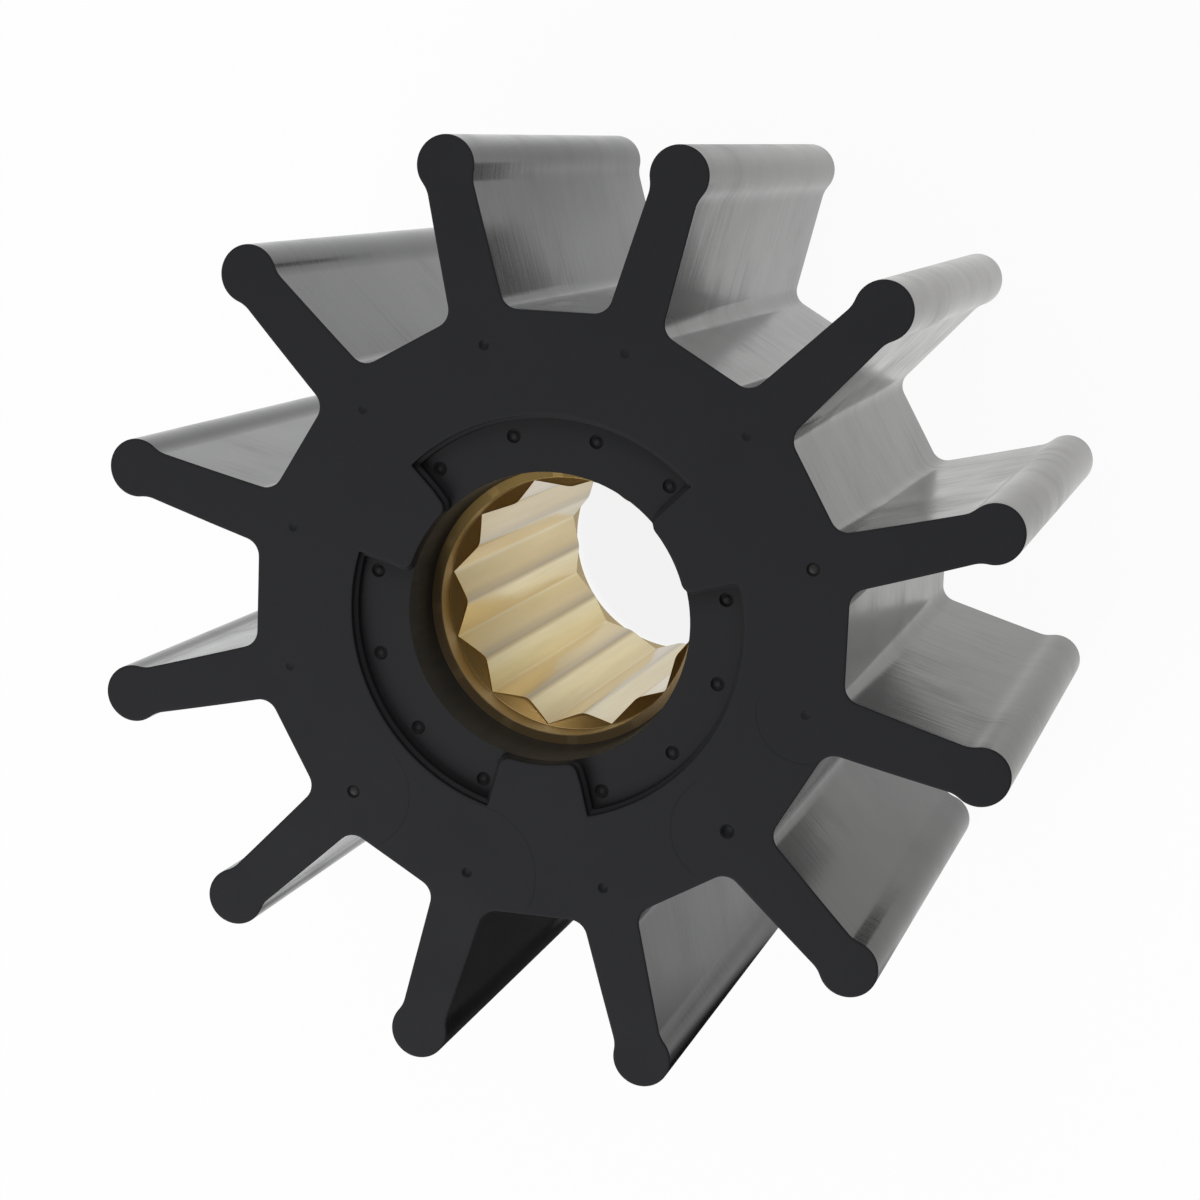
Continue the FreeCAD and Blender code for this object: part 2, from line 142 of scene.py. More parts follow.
def along_arc(centre, radius, first, last, steps, hollow=False):
    """(point, outward normal) pairs on an arc. A hollow arc has its centre in the air."""
    pairs = []
    for step in range(steps + 1):
        angle = first + (last - first) * step / steps
        ray = Vector((math.cos(angle), math.sin(angle)))
        pairs.append((centre + ray * radius, -ray if hollow else ray))
    return pairs


def along_line(first, last, normal, steps):
    """(point, outward normal) pairs between two points, without the two points."""
    return [(first.lerp(last, step / steps), normal) for step in range(1, steps)]


# %% Rings, the quads between them and the flat covers at the ends
WANDER = 0.09 * MM
WANDER_LENGTH = 3.0 * MM


def ring(mesh, outline, height, inset=0.0, wander=0.0):
    """A ring of vertices: the outline drawn in by the inset, at one height. It may wander a bit."""
    corners = []
    for point, normal in outline:
        uneven = 0.5 + noise.noise((point.x / WANDER_LENGTH, point.y / WANDER_LENGTH, height))
        place = point - normal * (inset + wander * max(0.0, uneven))
        corners.append(mesh.verts.new((place.x, place.y, height)))
    return corners


def join(mesh, lower, upper, finish=0):
    """Quads between two rings of the same length."""
    for index, corner in enumerate(lower):
        following = (index + 1) % len(lower)
        face = mesh.faces.new((corner, lower[following], upper[following], upper[index]))
        face.material_index = finish


def cover(mesh, loops, finish=0):
    """Close the flat space that lies inside the first loop and outside the others."""
    corners = [corner for loop in loops for corner in loop]
    faces = []
    for triangle in tessellate_polygon([[corner.co for corner in loop] for loop in loops]):
        faces.append(mesh.faces.new([corners[index] for index in triangle]))
        faces[-1].material_index = finish

    # A very thin triangle would show as a line, so edges inside are turned to even them out
    uses = Counter(edge for face in faces for edge in face.edges)
    shared = [edge for edge, count in uses.items() if count == 2]
    bmesh.ops.beautify_fill(mesh, faces=faces, edges=shared)


# %% The object that a finished mesh becomes
def finished_object(mesh, name, node, materials):
    """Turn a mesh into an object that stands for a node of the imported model."""
    bmesh.ops.recalc_face_normals(mesh, faces=mesh.faces)
    for face in mesh.faces:
        face.smooth = True
    data = bpy.data.meshes.new(name)
    mesh.to_mesh(data)
    mesh.free()
    data.set_sharp_from_angle(angle=SHARP_ANGLE)
    piece = bpy.data.objects.new(name, data)
    bpy.context.scene.collection.objects.link(piece)
    for material in materials:
        data.materials.append(material)
    weighted = piece.modifiers.new("Steady shading", "WEIGHTED_NORMAL")
    weighted.keep_sharp = True
    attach(piece, "root")
    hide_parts(node)
    print(name, len(data.polygons), "faces")
    return piece


# %% [markdown]
# ## Outline of the blades and the hub
# One blade is drawn pointing along +Y, from the middle of the flat on its right to the middle of
# the flat on its left. Its side leans in by two degrees, a hollow joins the side to the hub, and
# another joins it to the round bead that wipes the liner. The second half mirrors the first, and
# twelve turns of the whole make the outline. Twelve separate blades could be joined to a hub, but
# one outline for them all keeps each fillet smooth and the mesh closed.
# A rubber blade takes a slight set in store, so each tip is moved sideways by a few tenths of a
# millimetre at most, as the photograph shows.

# %% Outline of half a blade
FLAT_STEPS = 5
ROOT_STEPS = 7
SIDE_STEPS = 9
NECK_STEPS = 6
BEAD_STEPS = 18


def blade_half():
    """(point, normal) pairs from the middle of the right flat to the tip of the bead."""
    flat_normal = turned((0, 1), -BLADE_PITCH / 2)
    flat_run = turned((-1, 0), -BLADE_PITCH / 2)
    side_normal = Vector((math.cos(BLADE_TAPER), math.sin(BLADE_TAPER)))
    side_run = Vector((-math.sin(BLADE_TAPER), math.cos(BLADE_TAPER)))
    side_start = Vector((BLADE_ROOT_HALF, BLADE_ROOT_HEIGHT))
    bead = Vector((0, TIP_RADIUS - BEAD_RADIUS))

    # The root fillet's centre is one fillet radius away from both the flat and the side
    flat_middle = flat_normal * HUB_APOTHEM
    gap = side_start + side_normal * ROOT_FILLET - flat_middle - flat_normal * ROOT_FILLET
    along_flat = gap.dot(side_normal) / flat_run.dot(side_normal)
    root_centre = flat_middle + flat_normal * ROOT_FILLET + flat_run * along_flat

    # The neck's centre is one neck radius away from the side and touches the bead from outside
    start = side_start + side_normal * NECK_FILLET
    middle = (start - bead).dot(side_run)
    excess = (start - bead).length_squared - (BEAD_RADIUS + NECK_FILLET) ** 2
    neck_centre = start + side_run * (-middle - math.sqrt(middle ** 2 - excess))

    flat_angle = math.atan2(-flat_normal.y, -flat_normal.x) + math.tau
    side_angle = math.pi + BLADE_TAPER
    neck_angle = math.atan2(bead.y - neck_centre.y, bead.x - neck_centre.x)
    bead_angle = neck_angle - math.pi
    half = [(flat_middle, flat_normal)]
    half += along_line(flat_middle, root_centre - flat_normal * ROOT_FILLET, flat_normal,
                       FLAT_STEPS)
    half += along_arc(root_centre, ROOT_FILLET, flat_angle, side_angle, ROOT_STEPS, hollow=True)
    half += along_line(root_centre - side_normal * ROOT_FILLET,
                       neck_centre - side_normal * NECK_FILLET, side_normal, SIDE_STEPS)
    half += along_arc(neck_centre, NECK_FILLET, side_angle, neck_angle, NECK_STEPS, hollow=True)
    half += along_arc(bead, BEAD_RADIUS, bead_angle, math.pi / 2, BEAD_STEPS)[1:]
    return half


print("Half a blade:", len(blade_half()), "points")

# %% Outline round all twelve blades
BLADE_SET = 0.25 * MM
BLADE_SET_AT = math.radians(-30)


def blade_outline():
    """The outline round all the blades, anticlockwise, with each tip's slight set."""
    right = blade_half()
    left = [(Vector((-p.x, p.y)), Vector((-n.x, n.y))) for p, n in reversed(right[1:-1])]
    outline = []
    for blade in range(BLADES):
        angle = blade * BLADE_PITCH
        lean = BLADE_SET * math.cos(angle + math.pi / 2 - BLADE_SET_AT)
        for point, normal in right + left:
            reach = max(0.0, point.y - HUB_APOTHEM) / (TIP_RADIUS - HUB_APOTHEM)
            moved = Vector((point.x - lean * reach ** 2, point.y))
            outline.append((turned(moved, angle), turned(normal, angle)))
    return outline


outline = blade_outline()
print("Blade outline:", len(outline), "points")

# %% [markdown]
# ## Outline of the bore and the pockets
# Each face has three shallow pockets that open into the bore, with three pads between them. The
# edge of the face therefore runs along the bore on a pad, round the pad's corner, out along the
# pocket's end wall, round its outer wall and back. The walls have a ledge and the bore is a cone,
# so this outline is worked out again at each depth, from how far the walls stand in there and
# from the bore's radius. It has as many points each time, which lets one level join the next.
# The pockets could be cut out of a plain face, but a cut leaves long thin faces that shade badly.

# %% Outline of a face's inner edge at one depth
PAD_STEPS = 10
CORNER_STEPS = 5
POCKET_CORNER_STEPS = 3
WALL_STEPS = 4
OUTER_WALL_STEPS = 18


def pad_and_pocket(start, wall_inset, bore_radius):
    """Points from the middle of a pad to the middle of the next, anticlockwise."""
    axis = Vector((0, 0))
    wall_angle = start + PAD_ANGLE / 2
    middle = wall_angle + (POCKET_PITCH - PAD_ANGLE) / 2
    wall_normal = turned((0, 1), wall_angle)
    outer_radius = POCKET_RADIUS - wall_inset

    # The pad's corner touches the bore from outside and the end wall from within the pad
    reach = bore_radius + PAD_CORNER
    corner_angle = wall_angle + math.asin((wall_inset - PAD_CORNER) / reach)
    corner = turned((reach, 0), corner_angle)
    pad = along_arc(axis, bore_radius, start, corner_angle, PAD_STEPS)
    pad_corner = along_arc(corner, PAD_CORNER, corner_angle + math.pi,
                           wall_angle + math.pi / 2, CORNER_STEPS)

    # The pocket's corner touches the end wall and the outer wall from within the pocket
    reach = outer_radius - POCKET_CORNER
    corner_angle = wall_angle + math.asin((wall_inset + POCKET_CORNER) / reach)
    corner = turned((reach, 0), corner_angle)
    wall_start, wall_end = pad_corner[-1][0], corner - wall_normal * POCKET_CORNER
    wall = along_line(wall_start, wall_end, wall_normal, WALL_STEPS)
    outer_corner = along_arc(corner, POCKET_CORNER, wall_angle - math.pi / 2, corner_angle,
                             POCKET_CORNER_STEPS)
    outer_wall = along_arc(axis, outer_radius, corner_angle, middle, OUTER_WALL_STEPS)

    half = [point for point, _ in pad + pad_corner[1:] + wall + outer_corner + outer_wall[1:]]
    other = [turned((point.x, -point.y), 2 * middle) for point in reversed(half[1:-1])]
    return half + other


def inner_ring(mesh, height, wall_inset, bore_radius):
    """The face's inner edge all the way round, at one height."""
    corners = []
    for pocket in range(POCKETS):
        start = PAD_ANGLE / 2 + pocket * POCKET_PITCH
        for point in pad_and_pocket(start, wall_inset, bore_radius):
            corners.append(mesh.verts.new((point.x, point.y, height)))
    return corners


print("Inner edge:", POCKETS * len(pad_and_pocket(0, 0, MOUTH_RADIUS)), "points")

# %% [markdown]
# ## The rubber
# The faces are flat, so they are filled between their outlines, with a hole for each pit. A pit is
# the mark of a pin in the mould: in a pocket it is a ring sunk round a small button, and at a
# blade's root a dimple. The pins have worn, so some dimples hardly show, and two have a burr in the
# middle, in the paler rubber of the bore, which paints part of its highlight. A bump texture could
# stand in for the pits, but real hollows shade rightly from every side. The same function makes the
# front and the rear face. Only the front has pits, as the pins of a mould work from one side.

# %% Pits, the marks of the mould's pins
# The places of the five skins among the rubber's materials
# The hollows' skin is darker than the faces, as painted shade, and the bore's skin paler, as painted
# light
SIDES, FACES, POCKET_FLOORS, BORE, SHADED_HOLLOWS = range(5)
PIT_STEPS = 28
# A section runs from a pit's rim to its middle, in shares of its radius and its depth
RING_PIT_DEPTH = 0.26 * MM
RING_PIT = ((1.0, 0.0), (0.95, 0.0), (0.88, 0.25), (0.78, 0.75), (0.65, 1.0), (0.52, 0.9),
            (0.4, 0.6), (0.28, 0.5))
DIMPLE = ((1.0, 0.0), (0.95, 0.0), (0.84, 0.15), (0.68, 0.5), (0.5, 0.85), (0.3, 1.0))
BURR = ((1.0, 0.0), (0.95, 0.0), (0.88, 0.3), (0.78, 0.8), (0.68, 1.0), (0.5, 0.75), (0.3, 0.6),
        (0.15, 0.55))
# A pit's radius and depth, its section and the skin in its middle
FAINT_PIT = (0.5 * MM, 0.05 * MM, DIMPLE, SHADED_HOLLOWS)
PLAIN_PIT = (0.58 * MM, 0.2 * MM, DIMPLE, SHADED_HOLLOWS)
DEEP_PIT = (0.8 * MM, 0.4 * MM, DIMPLE, SHADED_HOLLOWS)
# A burred pit's middle takes the bore's paler skin, which paints part of its highlight
BURRED_PIT = (0.7 * MM, 0.24 * MM, BURR, BORE)
FACE_PITS = (BURRED_PIT, FAINT_PIT, FAINT_PIT, PLAIN_PIT, FAINT_PIT, FAINT_PIT,
             FAINT_PIT, BURRED_PIT, PLAIN_PIT, PLAIN_PIT, DEEP_PIT, FAINT_PIT)


def circle(place, angle, radius):
    """A round outline at a radius and an angle about the axis."""
    centre = turned((place, 0), angle)
    return along_arc(centre, radius, 0, math.tau * (1 - 1 / PIT_STEPS), PIT_STEPS - 1)


def sink_pit(mesh, rim, section, depth, around, rising, middle):
    """Rings below a pit's rim. Its first ring stays level, so that the face shades evenly."""
    centre = sum((corner.co for corner in rim), Vector()) / len(rim)
    last, last_drop = rim, 0.0
    for share, drop in section[1:]:
        level = []
        for corner in rim:
            place = centre + (corner.co - centre) * share
            level.append(mesh.verts.new((place.x, place.y, centre.z - drop * depth)))
        sinking = SHADED_HOLLOWS if drop else around
        join(mesh, last, level, rising if drop < last_drop else sinking)
        last, last_drop = level, drop
    cover(mesh, [last], middle)


print("Pits:", len(FACE_PITS) + POCKETS * POCKET_PITS)

# %% Walls and floors of the pockets
BORE_STEPS = 30


def wall_levels():
    """(inset of the wall, set-back of the bore, depth, skin) from a face's edge to a floor."""
    levels = []
    for step in range(EDGE_STEPS + 1):
        angle = math.pi / 2 * step / EDGE_STEPS
        back = POCKET_EDGE * (1 - math.sin(angle))
        levels.append((-back, back, POCKET_EDGE * (1 - math.cos(angle)), FACES))
    # Down the walls the darker skin of the hollows is painted shade
    return levels + [
        (0.0, 0.0, LEDGE_TOP, SHADED_HOLLOWS),
        (POCKET_EDGE / 2, 0.0, LEDGE_TOP + POCKET_EDGE / 2, SHADED_HOLLOWS),
        (LEDGE_WIDTH - POCKET_EDGE / 2, 0.0, LEDGE_DEPTH, POCKET_FLOORS),
        (LEDGE_WIDTH, 0.0, LEDGE_DEPTH + POCKET_EDGE / 2, SHADED_HOLLOWS),
        (LEDGE_WIDTH, 0.0, POCKET_DEPTH - POCKET_EDGE, SHADED_HOLLOWS),
        (LEDGE_WIDTH + POCKET_EDGE / 2, 0.0, POCKET_DEPTH, SHADED_HOLLOWS),
    ]


def floor_pockets(mesh, wall_ring, floor_height, floor_radius, pitted):
    """The floors, from their walls to the bore. Returns the bore's ring, which passes all pads."""
    per_pocket = len(wall_ring) // POCKETS
    bore_ring = []
    for pocket in range(POCKETS):
        sector = wall_ring[pocket * per_pocket:(pocket + 1) * per_pocket]
        first, final = PAD_STEPS, per_pocket - PAD_STEPS
        wall = sector[first:final + 1]
        begin = math.atan2(wall[0].co.y, wall[0].co.x)
        sweep = (math.atan2(wall[-1].co.y, wall[-1].co.x) - begin) % math.tau
        rim = []
        for step in range(1, BORE_STEPS):
            place = turned((floor_radius, 0), begin + sweep * step / BORE_STEPS)
            rim.append(mesh.verts.new((place.x, place.y, floor_height)))
        middle = PAD_ANGLE / 2 + (pocket + 0.5) * POCKET_PITCH
        holes = []
        for index in range(POCKET_PITS if pitted else 0):
            angle = middle + (index - (POCKET_PITS - 1) / 2) * POCKET_PIT_ANGLE
            pit = circle(POCKET_PIT_PLACE, angle, POCKET_PIT_RADIUS)
            holes.append(ring(mesh, pit, floor_height))
        cover(mesh, [wall + rim[::-1]] + holes, POCKET_FLOORS)
        for hole in holes:
            sink_pit(mesh, hole, RING_PIT, RING_PIT_DEPTH, POCKET_FLOORS, SHADED_HOLLOWS, POCKET_FLOORS)
        bore_ring += sector[:first + 1] + rim + sector[final:]
    return bore_ring


# %% One face of the rubber
def make_face(mesh, surface, inward, mouth_radius, recess, pitted):
    """One face with its pockets. Returns its outer edge's ring and its bore's ring."""
    face_rim = ring(mesh, outline, surface, EDGE, WANDER)
    level_rim = ring(mesh, outline, surface, EDGE + LEVEL_RIM)
    join(mesh, face_rim, level_rim, FACES)
    widened = POCKET_EDGE + LEVEL_RIM
    level_edge = inner_ring(mesh, surface, -widened, mouth_radius + widened)
    pits = []
    for blade in range(BLADES if pitted else 0):
        pit = circle(FACE_PIT_PLACE, blade * BLADE_PITCH, FACE_PITS[blade][0])
        pits.append(ring(mesh, pit, surface))
    cover(mesh, [level_rim, level_edge] + pits, FACES)
    for pit, (_, depth, section, middle) in zip(pits, FACE_PITS):
        sink_pit(mesh, pit, section, depth, FACES, middle, middle)

    # Round the edge, go down the wall, across the ledge and down to the floor
    taper = (mouth_radius - LAND_RADIUS) / recess
    last = level_edge
    for wall_inset, back, depth, finish in wall_levels():
        bore_radius = mouth_radius + back - taper * depth
        level = inner_ring(mesh, surface + inward * depth, wall_inset, bore_radius)
        join(mesh, last, level, finish)
        last = level
    floor_height = surface + inward * POCKET_DEPTH
    floor_radius = mouth_radius - taper * POCKET_DEPTH
    return face_rim, floor_pockets(mesh, last, floor_height, floor_radius, pitted)


# %% Levels up the outside of the blades and up the bore
STRAIGHT_STEPS = 12
# (radius, height) round the space that the bushing fills
BORE_LEVELS = (
    (LAND_RADIUS + POCKET_EDGE / 2, BUSHING_BOTTOM - POCKET_EDGE),
    (LAND_RADIUS, BUSHING_BOTTOM),
    (BUSHING_RADIUS, BUSHING_BOTTOM),
    (BUSHING_RADIUS, BUSHING_TOP),
    (LAND_RADIUS, BUSHING_TOP),
    (LAND_RADIUS + POCKET_EDGE / 2, BUSHING_TOP + POCKET_EDGE),
)


def side_levels():
    """(height, inset, wander, skin) up the outside, between the rims of the two faces."""
    # The rounding at each face belongs to the ground face, and the rest is moulded skin
    rounding = []
    for step in range(1, EDGE_STEPS + 1):
        angle = math.pi / 2 * step / EDGE_STEPS
        inset = EDGE * (1 - math.sin(angle))
        rounding.append((EDGE * (1 - math.cos(angle)), inset, WANDER * inset / EDGE, FACES))
    levels = list(rounding)
    for step in range(1, STRAIGHT_STEPS + 1):
        levels.append((EDGE + (WIDTH - 2 * EDGE) * step / STRAIGHT_STEPS, 0.0, 0.0, SIDES))
    for height, inset, wander, _ in reversed(rounding[:-1]):
        levels.append((WIDTH - height, inset, wander, FACES))
    return levels


print("Levels up the outside:", len(side_levels()), "and up the bore:", len(BORE_LEVELS))

# %% The whole rubber
MOUTH_SHIFT = Vector((-0.12, -0.075)) * MM
MOUTH_DRAW = 0.14 * MM
MOVED_RADIUS = MOUTH_RADIUS + 2 * MM
FADE_WIDTH = 1 * MM


def round_ring(mesh, pattern, radius, height):
    """A circle of vertices at the same angles as those of another ring."""
    corners = []
    for corner in pattern:
        angle = math.atan2(corner.co.y, corner.co.x)
        corners.append(mesh.verts.new((radius * math.cos(angle), radius * math.sin(angle), height)))
    return corners


def settle_mouth(mesh):
    """Draw the front mouth in a little and off the axis, as it sits in the photograph."""
    for corner in mesh.verts:
        radius = math.hypot(corner.co.x, corner.co.y)
        up = (corner.co.z - BUSHING_TOP) / (WIDTH - BUSHING_TOP)
        close = min(1.0, (MOVED_RADIUS - radius) / FADE_WIDTH)
        if up > 0 and close > 0:
            corner.co.x += up * close * (MOUTH_SHIFT.x - MOUTH_DRAW * corner.co.x / radius)
            corner.co.y += up * close * (MOUTH_SHIFT.y - MOUTH_DRAW * corner.co.y / radius)


def make_rubber(materials):
    """The moulded rubber, closed all round."""
    mesh = bmesh.new()
    rear_rim, rear_bore = make_face(
        mesh, 0.0, 1, REAR_MOUTH_RADIUS, BUSHING_BOTTOM, pitted=False)
    front_rim, front_bore = make_face(
        mesh, WIDTH, -1, MOUTH_RADIUS, WIDTH - BUSHING_TOP, pitted=True)
    last = rear_rim
    for height, inset, wander, finish in side_levels():
        level = ring(mesh, outline, height, inset, wander)
        join(mesh, last, level, finish)
        last = level
    join(mesh, last, front_rim, FACES)
    last = rear_bore
    for radius, height in BORE_LEVELS:
        level = round_ring(mesh, rear_bore, radius, height)
        join(mesh, last, level, BORE)
        last = level
    join(mesh, last, front_bore, BORE)
    settle_mouth(mesh)
    return finished_object(mesh, "moulded_rubber", "impeller_rubber", materials)


# %% [markdown]
# ## The brass bushing
# A turned sleeve is broached from end to end: twelve V grooves with straight flanks, and ridges
# between them whose crests are gently rounded. Each end has a plain counterbore and a cone that
# leads the shaft in. A cone could be cut out of a splined sleeve, but that leaves ragged faces
# along the edge where they meet. So the bore is lofted column by column instead: a column knows
# its own radius in the spline, and with it the place where the cone meets it.

# %% Plan of one groove
FLANK_STEPS = 8
CREST_STEPS = 6


def groove_plan():
    """Points across the groove along +X, from the middle of one crest up to the next, without it."""
    root = Vector((GROOVE_RADIUS, 0))
    crest_edge = turned((CREST_RADIUS, 0), (GROOVE_PITCH - RIDGE_CREST_ANGLE) / 2)
    run = (crest_edge - root).normalized()
    into_brass = Vector((run.y, -run.x))
    crest_ray = turned((1, 0), GROOVE_PITCH / 2)

    # The crest is an arc that touches both flanks and the circle between opposite crests
    gap = (crest_ray * CREST_RADIUS - root).dot(into_brass)
    crest_round = gap / (1 - crest_ray.dot(into_brass))
    centre = crest_ray * (CREST_RADIUS + crest_round)
    touch = centre - into_brass * crest_round
    first = math.atan2(-into_brass.y, -into_brass.x)
    last = GROOVE_PITCH / 2 - math.pi
    half = []
    for step in range(FLANK_STEPS):
        half.append(root.lerp(touch, step / FLANK_STEPS))
    half += [point for point, _ in along_arc(centre, crest_round, first, last, CREST_STEPS)]
    return [Vector((point.x, -point.y)) for point in reversed(half[1:])] + half[:-1]


print("Across a groove:", len(groove_plan()), "points")

# %% Section down one end of the bushing
CONE_STEPS = 6
OUTER_CHAMFER = 0.4 * MM


def bushing_end(radius):
    """(radius, depth below the end) down one end, for a column whose spline has this radius."""
    section = [(BUSHING_RADIUS, OUTER_CHAMFER), (BUSHING_RADIUS - OUTER_CHAMFER, 0.0)]
    for step in range(EDGE_STEPS + 1):
        angle = math.pi / 2 * step / EDGE_STEPS
        section.append((COUNTERBORE_RADIUS + BRASS_EDGE * (1 - math.sin(angle)),
                        BRASS_EDGE * (1 - math.cos(angle))))
    section.append((COUNTERBORE_RADIUS, COUNTERBORE_DEPTH - BRASS_EDGE / 4))
    cone = COUNTERBORE_RADIUS - radius
    softened = min(BRASS_EDGE, cone) / 2
    for step in range(CONE_STEPS + 1):
        along = (cone - softened) * step / CONE_STEPS
        section.append((COUNTERBORE_RADIUS - along, COUNTERBORE_DEPTH + along))
    section.append((radius, COUNTERBORE_DEPTH + cone + softened))
    return section


print("Down an end:", len(bushing_end(CREST_RADIUS)), "points")

# %% The whole bushing
TURNED, BROACHED = range(2)
SPLINE_STEPS = 14
CONE_BORDER = 0.1 * MM


def make_bushing(materials):
    """The bushing, closed all round."""
    plan = [turned(point, BUSHING_TURN + groove * GROOVE_PITCH)
            for groove in range(GROOVES) for point in groove_plan()]
    columns = []
    for point in plan:
        end = bushing_end(point.length)
        front = [(radius, BUSHING_TOP - depth) for radius, depth in end]
        rear = [(radius, BUSHING_BOTTOM + depth) for radius, depth in reversed(end)]
        high, low = front[-1][1] - CONE_BORDER, rear[0][1] + CONE_BORDER
        spline = [(point.length, high + (low - high) * step / SPLINE_STEPS)
                  for step in range(SPLINE_STEPS + 1)]
        columns.append((point.normalized(), front + spline + rear))
    mesh = bmesh.new()
    levels = []
    for row in range(len(columns[0][1])):
        level = []
        for ray, section in columns:
            radius, height = section[row]
            level.append(mesh.verts.new((ray.x * radius, ray.y * radius, height)))
        levels.append(level)

    # The spline is bright, and so is the rear cone, down to the foot of its counterbore
    front_rows = len(bushing_end(CREST_RADIUS)) - 1
    rear_rows = EDGE_STEPS + 4
    for row, level in enumerate(levels):
        bright = front_rows <= row < len(levels) - rear_rows
        join(mesh, level, levels[(row + 1) % len(levels)], BROACHED if bright else TURNED)
    return finished_object(mesh, "brass_bushing", "splined_bushing", materials)


# %% [markdown]
# ## Groups for the finishes
# Rubber and brass share the same kinds of texture at different sizes, so each effect is a node
# group that is placed in every material that needs it, with that material's own numbers. All of
# them read the object's own coordinates, so they stay on the surface from every side.

# %% Helpers for nodes
def add_node(tree, kind, **settings):
    """A node with its settings."""
    node = tree.nodes.new(kind)
    for name, value in settings.items():
        setattr(node, name, value)
    return node


def feed(tree, source, target):
    """Link a socket to another, or set a plain value on it."""
    if isinstance(source, bpy.types.NodeSocket):
        tree.links.new(source, target)
    else:
        target.default_value = source
    return target


# %% Helpers for values and colours
# A noise keeps mostly between these two values
NOISE_RANGE = (0.3, 0.7)
# A Mix node has its colours at these places among its sockets
FIRST_COLOUR, SECOND_COLOUR, MIXED_COLOUR = 6, 7, 2


def arithmetic(tree, operation, *values):
    """The result of a Math node."""
    node = add_node(tree, "ShaderNodeMath", operation=operation)
    for value, socket in zip(values, node.inputs):
        feed(tree, value, socket)
    return node.outputs[0]


def stretched(tree, value, low, high):
    """A value brought from one range to 0 to 1, and kept there."""
    node = add_node(tree, "ShaderNodeMapRange")
    feed(tree, value, node.inputs["Value"])
    feed(tree, low, node.inputs["From Min"])
    feed(tree, high, node.inputs["From Max"])
    return node.outputs["Result"]


def blend_colours(tree, share, first, second):
    """A colour between two others."""
    node = add_node(tree, "ShaderNodeMix", data_type="RGBA")
    feed(tree, share, node.inputs["Factor"])
    feed(tree, first, node.inputs[FIRST_COLOUR])
    feed(tree, second, node.inputs[SECOND_COLOUR])
    return node.outputs[MIXED_COLOUR]


def colour_ramp(tree, value, stops):
    """A colour that runs through the given (position, colour) stops."""
    node = add_node(tree, "ShaderNodeValToRGB")
    elements = node.color_ramp.elements
    while len(elements) < len(stops):
        elements.new(1.0)
    for element, (position, colour) in zip(elements, stops):
        element.position = position
        element.color = colour
    feed(tree, value, node.inputs["Fac"])
    return node.outputs["Color"]


def noise_value(tree, vector, scale, detail, rough):
    """A noise of some size, from 0 to 1."""
    node = add_node(tree, "ShaderNodeTexNoise")
    feed(tree, vector, node.inputs["Vector"])
    feed(tree, scale, node.inputs["Scale"])
    feed(tree, detail, node.inputs["Detail"])
    feed(tree, rough, node.inputs["Roughness"])
    return node.outputs["Fac"]


# %% Helpers for node groups
def new_group(name, inputs, outputs):
    """A node group with its sockets, and its two end nodes."""
    group = bpy.data.node_groups.new(name, "ShaderNodeTree")
    for socket, default in inputs:
        made = group.interface.new_socket(socket, in_out="INPUT", socket_type="NodeSocketFloat")
        made.default_value = default
    for socket in outputs:
        group.interface.new_socket(socket, in_out="OUTPUT", socket_type="NodeSocketFloat")
    return group, add_node(group, "NodeGroupInput"), add_node(group, "NodeGroupOutput")


def place_group(tree, group, **values):
    """A group in a material, with this material's numbers."""
    node = add_node(tree, "ShaderNodeGroup", node_tree=group)
    for name, value in values.items():
        feed(tree, value, node.inputs[name.replace("_", " ")])
    return node


# %% Grain: the fine skin of a surface and the slow cloudiness under it
def make_grain_group():
    """Fine height and slow clouds, both about 0 to 1."""
    group, given, result = new_group(
        "Grain", (("Grain per metre", 4000.0), ("Clouds per metre", 90.0)), ("Height", "Clouds"))
    place = add_node(group, "ShaderNodeTexCoord").outputs["Object"]
    fine = noise_value(group, place, given.outputs["Grain per metre"], detail=4.0, rough=0.65)
    slow = noise_value(group, place, given.outputs["Clouds per metre"], detail=3.0, rough=0.55)
    feed(group, fine, result.inputs["Height"])
    feed(group, stretched(group, slow, *NOISE_RANGE), result.inputs["Clouds"])
    return group


GRAIN = make_grain_group()
print("Group:", GRAIN.name)

# %% Streaks: marks drawn along the axis by a broach, or outwards by the polishing of a mould
def make_streak_group(name, along, across):
    """Streaks that are much longer along some axes than across the others."""
    group, given, result = new_group(
        name, (("Streaks per metre", 900.0), ("Length", 30.0)), ("Value",))
    place = add_node(group, "ShaderNodeTexCoord").outputs["Object"]
    mapping = add_node(group, "ShaderNodeCombineXYZ")
    shrink = arithmetic(group, "DIVIDE", 1.0, given.outputs["Length"])
    for axis in along:
        feed(group, shrink, mapping.inputs[axis])
    for axis in across:
        feed(group, 1.0, mapping.inputs[axis])
    scaled = add_node(group, "ShaderNodeVectorMath", operation="MULTIPLY")
    feed(group, place, scaled.inputs[0])
    feed(group, mapping.outputs["Vector"], scaled.inputs[1])
    value = noise_value(group, scaled.outputs["Vector"], given.outputs["Streaks per metre"],
                        detail=4.0, rough=0.6)
    feed(group, stretched(group, value, *NOISE_RANGE), result.inputs["Value"])
    return group


STREAKS = make_streak_group("Streaks", along="Z", across="XY")
POLISH = make_streak_group("Polish", along="XY", across="Z")
print("Groups:", STREAKS.name, POLISH.name)

